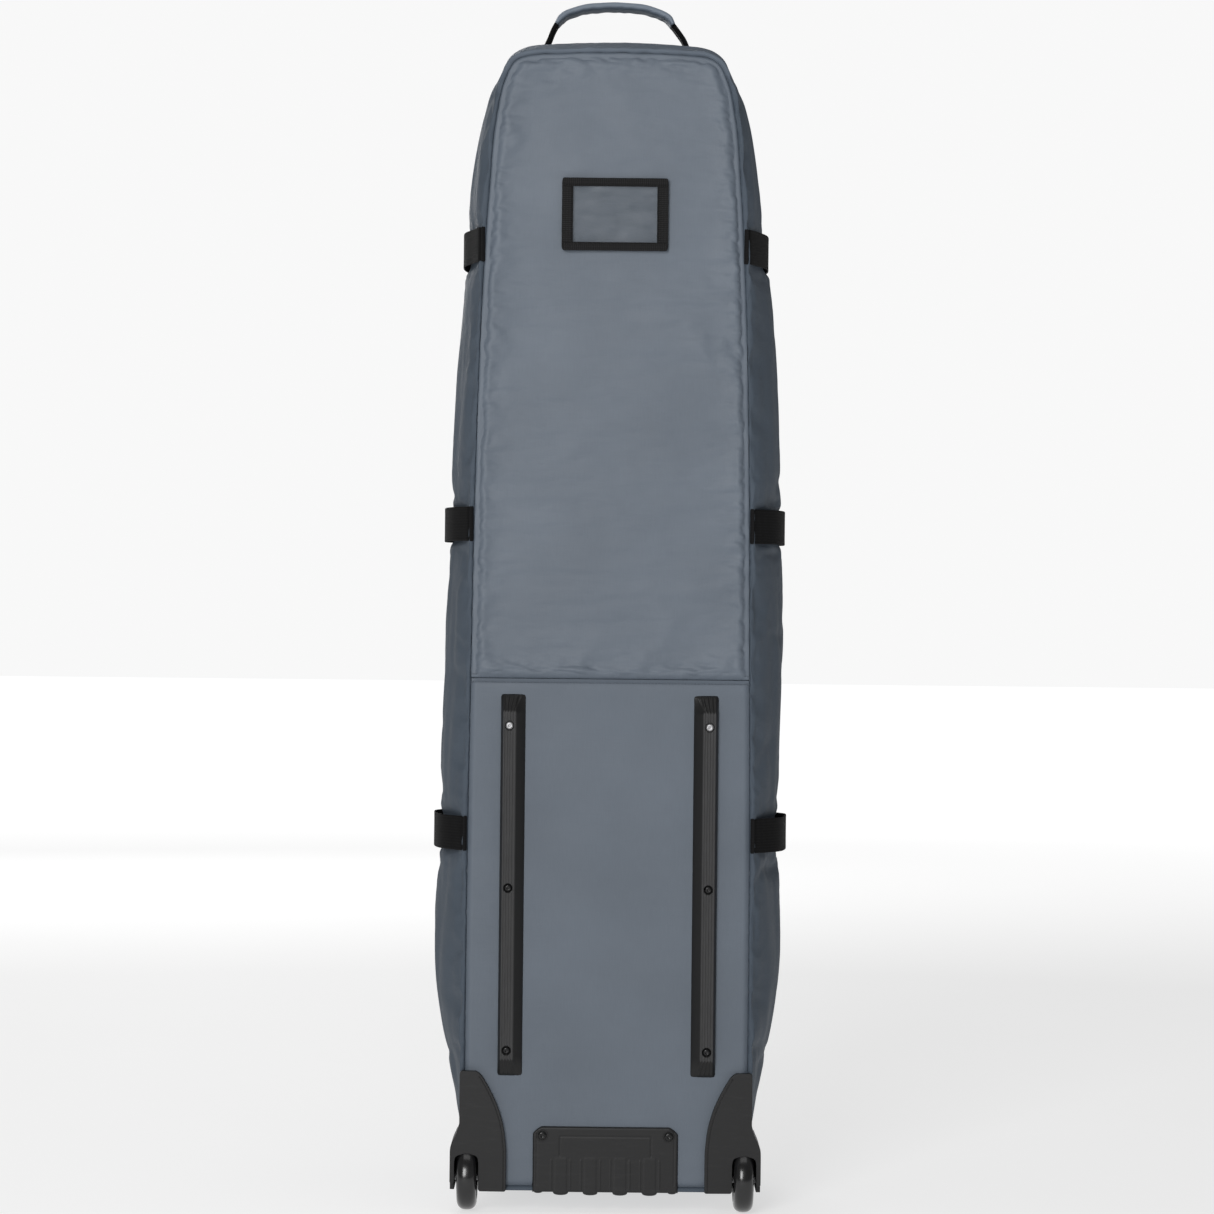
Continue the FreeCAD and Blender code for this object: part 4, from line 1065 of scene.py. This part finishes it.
# ---------------------------------------------------------------- kick plate
def kick_plate():
    """The moulded plate at the foot, with four lobes along its lower edge."""
    half, low, high, chamfer, pitch = 80.0, 22.0, 94.5, 10.0, 32.5
    lobes = np.array([-1.5, -0.5, 0.5, 1.5]) * pitch
    x = np.linspace(-half, half, 241)

    def lobe(values, width):
        return sum(np.clip(1 - ((values - c) / width) ** 2, 0, 1) ** 0.5 for c in lobes)

    bottom = low - 3.4 * lobe(x, 8.2) ** 0.7 - 1.4 * np.clip(1 - ((np.abs(x) - 73.5) / 4.5) ** 2, 0, 1) ** 0.5
    cut = np.clip(np.abs(x) - (half - chamfer), 0, chamfer)
    top = high - (chamfer - np.sqrt(np.clip(chamfer ** 2 - (cut * 0.98) ** 2, 0, None))) * 0.55 - cut * 0.45
    f = np.concatenate([[0, 0.006, 0.015, 0.03, 0.045], np.linspace(0.06, 0.96, 78), [0.975, 0.988, 1.0]])
    f = f[:, None]
    z = bottom[None] * (1 - f) + top[None] * f
    xx = np.repeat(x[None], len(f), 0)
    side = half - np.abs(xx)
    d = np.minimum(np.minimum(side, z - bottom[None]), top[None] - z)
    height = 4.0 * np.sqrt(np.clip(1 - (1 - np.clip(d / 2.4, 0, 1)) ** 2, 0, 1))
    ribs = sum((np.abs(xx - c) < 6.8).astype(float) * np.clip((61.0 - z) / 2.0, 0, 1)
               * np.clip((6.8 - np.abs(xx - c)) / 0.9, 0, 1) for c in lobes)
    frame_line = np.clip(1 - np.abs(np.maximum(np.abs(xx) - 50.0, np.abs(z - 52.0) - 31.5)) / 1.1, 0, 1)
    line = np.clip(1 - np.abs(side - 4.6) / 0.8, 0, 1) * (z > 30)
    height = height + 0.22 * ribs * (d > 1.5) - 0.45 * frame_line * (z > 62) - 0.35 * line
    height += sum(0.25 * (np.abs(np.abs(xx - c) - 10.5) < 0.9) * (z < 58) * (d > 2) for c in lobes)
    y = BACK_Y - height
    face = np.stack([xx, y, z], 2)
    edge = face[:1].copy()
    under = []
    for back, lift in ((2.0, 0.0), (10.0, 0.2), (20.0, 1.2), (28.0, 3.0), (33.0, 4.8)):
        row = edge.copy()
        row[..., 1] = BACK_Y + back
        row[..., 2] = edge[..., 2] + (low + lift - edge[..., 2]) * min(1, back / 12)
        under.append(row)
    close = face[-1:].copy()
    close[..., 1] = BACK_Y + 0.5
    full = np.concatenate(under[::-1] + [face, close], 0)
    left, right = full[:, :1].copy(), full[:, -1:].copy()
    for rim in (left, right):
        rim[..., 1] = np.maximum(rim[..., 1], BACK_Y + 0.5)
        rim[..., 2] = np.maximum(rim[..., 2], low + 3)
    obj = grid("kick_plate_moulding", np.concatenate([left, full, right], 1))
    finish_piece(obj, "case", moulded, ["kick_plate"])
    heads, rings = [], []
    for x in (-69.5, 69.5):
        heads.append(rivet_data(x, BACK_Y - 3.9, 84.5, 4.9, 2.5))
        circle = [(x + 6.3 * math.cos(a), BACK_Y - 4.0, 84.5 + 6.3 * math.sin(a))
                  for a in np.arange(32) * math.pi / 16]
        rings.append(sweep_data(circle, (0, 1, 0), round_section(0.45, 6), closed=True))
    heads = join("kick_plate_domed_rivets", heads)
    finish_piece(heads, "case", gloss, ["kick_plate_rivets"])
    finish_piece(join("kick_plate_rivet_rings", rings), "case", moulded)


kick_plate()


# ---------------------------------------------------------------- wheels and CAD parts that stay
def tyre(side, sign):
    """A wheel's rounded tyre."""
    outer = [(11.0 * math.copysign(abs(math.cos(a)) ** 0.8, math.cos(a)), 25.0 + 11.0 * math.sin(a) ** 0.86)
             for a in np.linspace(0.0, math.pi, 33)]
    profile = outer + [(-10.6, 24.1), (10.6, 24.1)]
    obj = lathe(f"tyre_{side}_cast", profile, (sign * 152.0, -146.0, 36.0), "x", 96)
    finish_piece(obj, f"wheel_{side}", urethane, [f"tyre_{side}"])


for side, sign in (("left", -1), ("right", 1)):
    tyre(side, sign)


def prism_data(outline, axis, low, high):
    """A flat outline pushed along an axis. Outline points are the other two axes, in x, y, z order."""
    outline = np.asarray(outline, float)
    k = len(outline)
    verts = np.array([np.insert(p, axis, level) for level in (low, high) for p in outline])
    faces = [list(range(k))[::-1], [k + i for i in range(k)]]
    faces += [[i, (i + 1) % k, k + (i + 1) % k, k + i] for i in range(k)]
    uvs = [(verts[q][(axis + 1) % 3] * MM, verts[q][(axis + 2) % 3] * MM) for face in faces for q in face]
    return verts, faces, uvs


def housing(side, sign):
    """Wheel housing: a shield on the back, and a fender round the wheel."""
    curve = smooth_path([(109.0, 24.0), (109.0, 60.0), (109.4, 72.0), (112.2, 94.0), (118.0, 114.0),
                         (125.5, 131.0), (134.0, 146.0), (138.0, 151.5), (142.5, 154.6)], 4.0)
    flare = smooth_path([(160.5, 98.0), (161.6, 92.0), (164.2, 85.0), (167.6, 78.0), (170.2, 70.5),
                         (170.6, 60.0)], 2.5)
    arch = smooth_path([(165.5, 54.0), (164.2, 60.0), (159.5, 62.6), (152.0, 63.0), (145.0, 62.6),
                        (140.6, 60.0), (139.4, 54.0)], 2.0)
    foot_out = [(170.6, 33.0), (169.4, 31.0), (166.4, 31.0), (165.5, 33.0)]
    foot_in = [(139.4, 25.0), (137.6, 23.0), (110.4, 22.8)]
    shield = np.vstack([curve, [(158.5, 155.0), (160.5, 153.0)], flare, foot_out, arch, foot_in])
    roof = np.vstack([[(135.0, 75.5), (135.0, 95.0), (158.0, 97.5)], flare[1:-2], [(165.6, 75.5)]])
    outer_wall = np.array([(165.6, 24), (170.4, 24), (170.4, 70), (168.0, 77.0), (165.6, 81.0)])
    inner_wall = np.array([(135.0, 24), (139.0, 24), (139.0, 80), (135.0, 80)])
    end_wall = np.array([(135.0, 24), (168.0, 24), (168.0, 76.5), (165.0, 84.0), (135.0, 92.0)])
    slabs = ((shield, -168.0, -160.2), (roof, -161.0, -105.0), (outer_wall, -161.0, -105.0),
             (inner_wall, -161.0, -105.0), (end_wall, -107.5, -103.2))
    parts = [prism_data(outline * [sign, 1], 1, near, far) for outline, near, far in slabs]
    obj = join(f"wheel_housing_{side}_moulding", parts)
    bm = bmesh.new()
    bm.from_mesh(obj.data)
    bmesh.ops.recalc_face_normals(bm, faces=bm.faces)
    bm.to_mesh(obj.data)
    bm.free()
    finish_piece(obj, "case", moulded, [f"wheel_housing_{side}"], bevel=1.3)
    step = [(sign * x, -168.2, z) for x, z in curve - [-3.0, 0.6]]
    line = tube(f"wheel_housing_{side}_bead", [p for p in step if p[2] < 150], 0.55, (0, 1, 0), 6)
    finish_piece(line, "case", moulded)


for side, sign in (("left", -1), ("right", 1)):
    housing(side, sign)

KEPT = {
    "back_stiffener": (sheet_plastic, 0.8), "base_board": (sheet_plastic, 1.0),
    "cinch_buckles": (acetal, 1.5),
    "axle_left": (steel, 0.6), "axle_right": (steel, 0.6),
    "hub_left": (moulded, 0.7), "hub_right": (moulded, 0.7),
    "bearings_left": (steel, 0.3), "bearings_right": (steel, 0.3),
    "front_foot_left": (moulded, 2.5), "front_foot_right": (moulded, 2.5),
    "side_handle": (webbing_solid, 1.8), "side_handle_anchors": (webbing_solid, 0.6),
    "pocket_slider": (dark_metal, 0.6), "pocket_pull": (webbing_solid, 0.7),
    "pocket_zip_tape": (tape_solid, 0.3),
}
for name in STRAPS:
    KEPT[f"buckle_male_{name}"] = KEPT[f"buckle_female_{name}"] = (acetal, 1.1)
for name in ("upper", "lower"):
    KEPT[f"zip_slider_{name}"] = (dark_metal, 0.6)
    KEPT[f"zip_pull_{name}"] = (webbing_solid, 0.8)
for name, (material, width) in KEPT.items():
    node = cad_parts[name]
    node.data.materials.clear()
    node.data.materials.append(material)
    round_edges(node, width)


# ---------------------------------------------------------------- identity window
def id_window():
    """A webbing frame round a clear pane."""
    y = BACK_Y - 7.6
    half, low, high, wide, edge = 58.5, 1055.5, 1135.5, 12.5, 9.5
    reach = half - wide / 2
    sides = []
    for k, s in (("left", -1), ("right", 1)):
        line = [(s * reach, y, low + 1), (s * reach, y - 0.2, 1095.0), (s * reach, y, high - 1)]
        sides.append(ribbon(f"id_window_side_{k}", smooth_path(line, 4.0), (1, 0, 0), wide, 1.5))
    bars = []
    for k, z in (("top", high - edge / 2), ("bottom", low + edge / 2)):
        line = [(-half, y - 0.9, z), (0, y - 0.5, z), (half, y - 0.9, z)]
        bars.append(ribbon(f"id_window_{k}", smooth_path(line, 4.0), (0, 0, 1), edge, 1.4))
    for obj in sides + bars:
        finish_piece(obj, "case", webbing_grey, ["id_window_frame"], subdivide=1)
    x = np.linspace(-half + 8, half - 8, 40)
    z = np.linspace(low + 6, high - 6, 28)
    xx, zz = np.meshgrid(x, z)
    wave = rough(xx * 1.0, xx * 0, zz * 1.6, 26.0, 4.4) * 0.7
    pane = grid("id_window_pane", np.stack([xx, y + 0.4 - wave, zz], 2))
    finish_piece(pane, "case", film, ["id_window_film"], solid=0.35)
    seams = []
    for s in (-1, 1):
        inset = s * (half - wide + 1.6)
        line = [(inset, y - 1.3, low + 10), (inset, y - 1.3, high - 10)]
        seams += stitch_data(line, (0, -1, 0), 3.6, 2.4, 0.3)
    for zz in (high - edge + 1.4, low + edge - 1.4):
        seams += stitch_data([(-half + 3, y - 1.6, zz), (half - 3, y - 1.6, zz)], (0, -1, 0), 3.6, 2.4, 0.3)
    obj = join("id_window_stitching", seams)
    finish_piece(obj, "case", binding)


id_window()


# ---------------------------------------------------------------- top handle
def top_handle():
    """Webbing legs, a padded wrap, and patches stitched to the crown."""
    y = -20.0
    legs = []
    for s in (-1, 1):
        path = smooth_path([(s * 80.5, y, 1296.6), (s * 79.4, y, 1301.0), (s * 75.8, y, 1309.0),
                            (s * 70.6 - 1.5, y, 1318.5), (s * 64.5 - 2.5, y, 1327.5),
                            (s * 58.5 - 2.5, y, 1333.5), (s * 50.0 - 2.5, y, 1338.0)], 2.0)
        legs.append(sweep_data(path, (0, 1, 0), webbing_section(25.0, 5.6)))
    obj = join("top_handle_legs", legs)
    finish_piece(obj, ("case", "top_handle", (0, -0.02, 1.2985), (0, -0.02, 1.3125)), webbing,
                 ["top_handle_webbing"], subdivide=1)
    arc = smooth_path([(-68.2, 1325.5), (-62.5, 1333.0), (-52.5, 1339.0), (-32.5, 1344.4), (-2.5, 1346.4),
                       (27.5, 1344.6), (47.0, 1339.4), (58.5, 1333.0), (63.6, 1325.5)], 2.0)
    count, k = len(arc), 36
    angle = np.arange(k) * 2 * math.pi / k
    t = normalise(np.gradient(arc, axis=0))
    normal = np.stack([-t[:, 1], t[:, 0]], 1)
    f = np.abs(np.linspace(-1, 1, count))
    half_thick = 4.3 - 1.2 * step_up(f, 0.86, 1.0)
    half_wide = 18.4 + 1.4 * step_up(f, 0.7, 1.0)
    rings = []
    for i in range(count):
        a = np.sign(np.cos(angle)) * np.abs(np.cos(angle)) ** 0.55 * half_wide[i]
        b = np.sign(np.sin(angle)) * np.abs(np.sin(angle)) ** 0.7 * half_thick[i]
        fold = np.sin(i * 0.86 + 1.1 * np.sin(i * 0.31) + a * 0.03)
        b = b + (0.3 * fold * (b < 0) + 0.14 * np.sin(i * 0.41 + a * 0.05)) * (1 - step_up(f[i], 0.85, 1.0))
        rings.append(np.stack([arc[i, 0] + normal[i, 0] * b, y + a, arc[i, 1] + normal[i, 1] * b], 1))
    rings = np.array(rings)
    caps = [rings[0].mean(0) + (rings[0] - rings[0].mean(0)) * s for s in (0.05, 0.8)]
    tails = [rings[-1].mean(0) + (rings[-1] - rings[-1].mean(0)) * s for s in (0.8, 0.05)]
    full = np.concatenate([np.array(caps), rings, np.array(tails)], 0)
    wrap = grid("top_handle_padded_wrap", full, closed_v=True, flip=True)
    finish_piece(wrap, "top_handle", cloth_handle_painted_light, ["top_handle_wrap"], subdivide=1)
    patches, threads = [], []
    for s in (-1, 1):
        line = [(s * 64.0, y, 1296.9), (s * 70.0, y, 1297.0), (s * 84.0, y, 1297.0), (s * 90.0, y, 1296.7)]
        patches.append(sweep_data(line, (0, 1, 0), webbing_section(26.0, 1.8)))
        for a in (-10, 10):
            line = [(s * 66.0, y + a, 1298.0), (s * 88.0, y + a, 1298.0)]
            threads += stitch_data(line, (0, 0, 1), 3.4, 2.3, 0.3)
        for a in (66.5, 87.5):
            line = [(s * a, y - 10, 1298.0), (s * a, y + 10, 1298.0)]
            threads += stitch_data(line, (0, 0, 1), 3.4, 2.3, 0.3)
    patches = join("top_handle_patches", patches)
    finish_piece(patches, "case", webbing, ["handle_anchors"], subdivide=1)
    finish_piece(join("top_handle_stitching", threads), "case", binding)


top_handle()


# ---------------------------------------------------------------- front pocket, foam, inner straps
def front_pocket():
    """The flat pocket on the lid."""
    half, low, high = 115.0, 446.0, 724.0
    n, m = 45, 53
    f = np.linspace(-1, 1, n)
    g = np.linspace(-1, 1, m)
    ff, gg = np.meshgrid(np.sign(f) * np.abs(f) ** 0.75, np.sign(g) * np.abs(g) ** 0.75)
    x, z = ff * half, (low + high) / 2 + gg * (high - low) / 2
    power = 5.0
    round_off = (np.abs(ff) ** power + np.abs(gg) ** power) ** (1 / power)
    reach = np.maximum(np.abs(ff), np.abs(gg))
    scale = np.where(round_off > 1e-6, reach / np.maximum(round_off, 1e-6), 1)
    x, z = x * scale, (low + high) / 2 + (z - (low + high) / 2) * scale
    d = (1 - reach) * half
    y = 165.2 + 9.2 * step_up(d, -3, 9) + 1.3 * step_up(d, 10, 70)
    y += 0.4 * rough(x, x * 0, z, 40.0, 2.2) * step_up(d, 8, 30)
    obj = grid("front_pocket_pouch", np.stack([x, y, z], 2), flip=True)
    pins = np.maximum(1 - step_up(d, 5, 12), (z > 672) * (z < 708) * 1.0)
    let_settle(obj, pins.ravel(), pressure=0.4, grow=0.012, cap=1.8, frames=10)
    finish_piece(obj, "lid", cloth, ["front_pocket"], subdivide=1, solid=1.0)
    t = np.arange(160) * 2 * math.pi / 160
    c, s = np.cos(t), np.sin(t)
    r = 1 / (np.abs(c) ** 8 + np.abs(s) ** 8) ** (1 / 8)
    level = (low + high) / 2 + (high - low) / 2 * s * r * 0.988
    path = np.stack([half * c * r * 0.985, np.full(160, 167.6), level], 1)
    trim = ribbon("front_pocket_binding", path, (0, 1, 0), 6.0, 2.2, closed=True)
    finish_piece(trim, "lid", binding, subdivide=1)


def foam_pad():
    """The pad that protects the club heads."""
    lo, hi = (np.array(c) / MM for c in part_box("top_foam_pad"))
    n = 24
    a = np.linspace(-1, 1, n)
    parts = []
    centre, half = (lo + hi) / 2, (hi - lo) / 2 - 1.0
    for axis in range(3):
        for sign in (-1, 1):
            p, q = np.meshgrid(a, a)
            unit = np.zeros((n, n, 3))
            unit[..., axis], unit[..., (axis + 1) % 3], unit[..., (axis + 2) % 3] = sign, p, q
            size = (np.abs(unit) ** 8).sum(2, keepdims=True) ** (1 / 8)
            unit = unit / size
            crown = 1 - 0.03 * (np.abs(unit[..., (axis + 1) % 3]) ** 2)[..., None] * np.eye(3)[axis]
            point = centre + unit * half * crown
            drop = np.clip((-48.0 - point[..., 1]) / 102.0, 0, 1) * 28.0 * (unit[..., 2] > 0) * unit[..., 2]
            point[..., 2] -= drop
            parts.append(grid_data(point, flip=sign < 0))
    obj = join("top_foam_cushion", parts)
    finish_piece(obj, "case", lining, ["top_foam_pad"], subdivide=1)


def inner_straps():
    """Two belts across the inside of the back, with box stitching."""
    parts, threads = [], []
    for z, y in ((400.0, -147.8), (900.0, -149.8)):
        path = smooth_path([(-129.0, y, z), (-60.0, y + 1.4, z + 1.5), (10.0, y + 2.2, z - 1.0),
                            (70.0, y + 1.4, z + 1.0), (129.0, y, z)], 5.0)
        parts.append(sweep_data(path, (0, 0, 1), webbing_section(38.0, 2.0)))
        for s in (-1, 1):
            corners = [(s * 126.0, z - 15), (s * 106.0, z + 15), (s * 106.0, z - 15), (s * 126.0, z + 15)]
            for (x0, z0), (x1, z1) in zip(corners, corners[1:] + corners[:1]):
                middle = ((x0 + x1) / 2, y + 1.5, (z0 + z1) / 2)
                line = [(x0, y + 1.3, z0), middle, (x1, y + 1.3, z1)]
                threads += stitch_data(line, (0, 1, 0), 3.6, 2.5, 0.3)
    belts = join("cinch_strap_webbing", parts)
    finish_piece(belts, "case", webbing, ["cinch_straps"], subdivide=1)
    finish_piece(join("cinch_strap_stitching", threads), "case", thread)


front_pocket()
foam_pad()
inner_straps()


# ---------------------------------------------------------------- stitching on the back
def back_stitching():
    """Two rows of thread beside the cross seam."""
    half = 151.0
    rows = []
    for z in (SEAM_Z - 4.6, SEAM_Z + 4.2):
        y = -160.2 if z < SEAM_Z else -160.4
        line = [(-half + 3, y + 2.0, z), (-half + 9, y, z), (0, y, z), (half - 9, y, z),
                (half - 3, y + 2.0, z)]
        rows += stitch_data(line, (0, -1, 0), 3.6, 2.6, 0.32)
    finish_piece(join("cross_seam_stitching", rows), "case", thread)


back_stitching()

# ---------------------------------------------------------------- floor, light and camera
FLOOR_CENTRE_Y, WHITE_LEVEL = 8.0, 0.94
bpy.ops.mesh.primitive_plane_add(size=40, location=(0, FLOOR_CENTRE_Y, -0.0005))
floor = bpy.context.object
floor.name = "floor"
pale = Material("pale_floor", (0.4, 0.4, 0.4), 0.7, specular=0.1)
place = pale.where("Object")
pale.link(pale.ramp(pale.noise(place, 3.0), (0.39, 0.39, 0.39), (0.41, 0.41, 0.41)), "Base Color")
pale.set("Emission Color", (1, 1, 1, 1))
from_case = pale.node("Mapping", {"Vector": place, "Location": (0, FLOOR_CENTRE_Y, 0)}).outputs[0]
distance = pale.node("VectorMath", {0: from_case}, operation="LENGTH").outputs["Value"]
fade = pale.node("MapRange", {"Value": distance, "From Min": 2.5, "From Max": 7.0,
                              "To Min": 0.6, "To Max": WHITE_LEVEL})
pale.link(fade.outputs[0], "Emission Strength")
floor.data.materials.append(pale.material)

# A dim studio that looks white itself.
world = bpy.data.worlds.new("studio")
scene.world = world
world.use_nodes = True
nodes, links = world.node_tree.nodes, world.node_tree.links
level = nodes.new("ShaderNodeMapRange")
level.inputs["To Min"].default_value = 0.2
level.inputs["To Max"].default_value = WHITE_LEVEL
links.new(nodes.new("ShaderNodeLightPath").outputs["Is Camera Ray"], level.inputs["Value"])
nodes["Background"].inputs["Color"].default_value = (1, 1, 1, 1)
links.new(level.outputs[0], nodes["Background"].inputs["Strength"])


def area_light(name, place, target, power, size_x, size_y):
    data = bpy.data.lights.new(name, "AREA")
    data.energy, data.shape, data.size, data.size_y = power, "RECTANGLE", size_x, size_y
    light = bpy.data.objects.new(name, data)
    scene.collection.objects.link(light)
    light.location = place
    light.rotation_mode = "QUATERNION"
    light.rotation_quaternion = (Vector(target) - Vector(place)).to_track_quat("-Z", "Y")
    return light


area_light("key", (-1.4, -5.1, 2.2), (0, 0, 0.7), 172, 1.8, 2.6)
area_light("top", (0.0, -0.4, 3.6), (0, 0, 0.8), 16, 2.4, 2.0)
area_light("far_side", (-1.2, 4.8, 2.4), (0, 0, 0.7), 60, 2.2, 2.4)

camera_data = bpy.data.cameras.new("camera")
camera_data.sensor_width, camera_data.lens = 36, 108
camera_data.clip_end = 100
camera = bpy.data.objects.new("camera", camera_data)
scene.collection.objects.link(camera)
camera.location = (-0.0044, -4.16, 0.665)
camera.rotation_euler = (math.radians(90), math.radians(-0.6), 0)
scene.camera = camera
scene.view_settings.view_transform = "Standard"
scene.view_settings.look = "None"
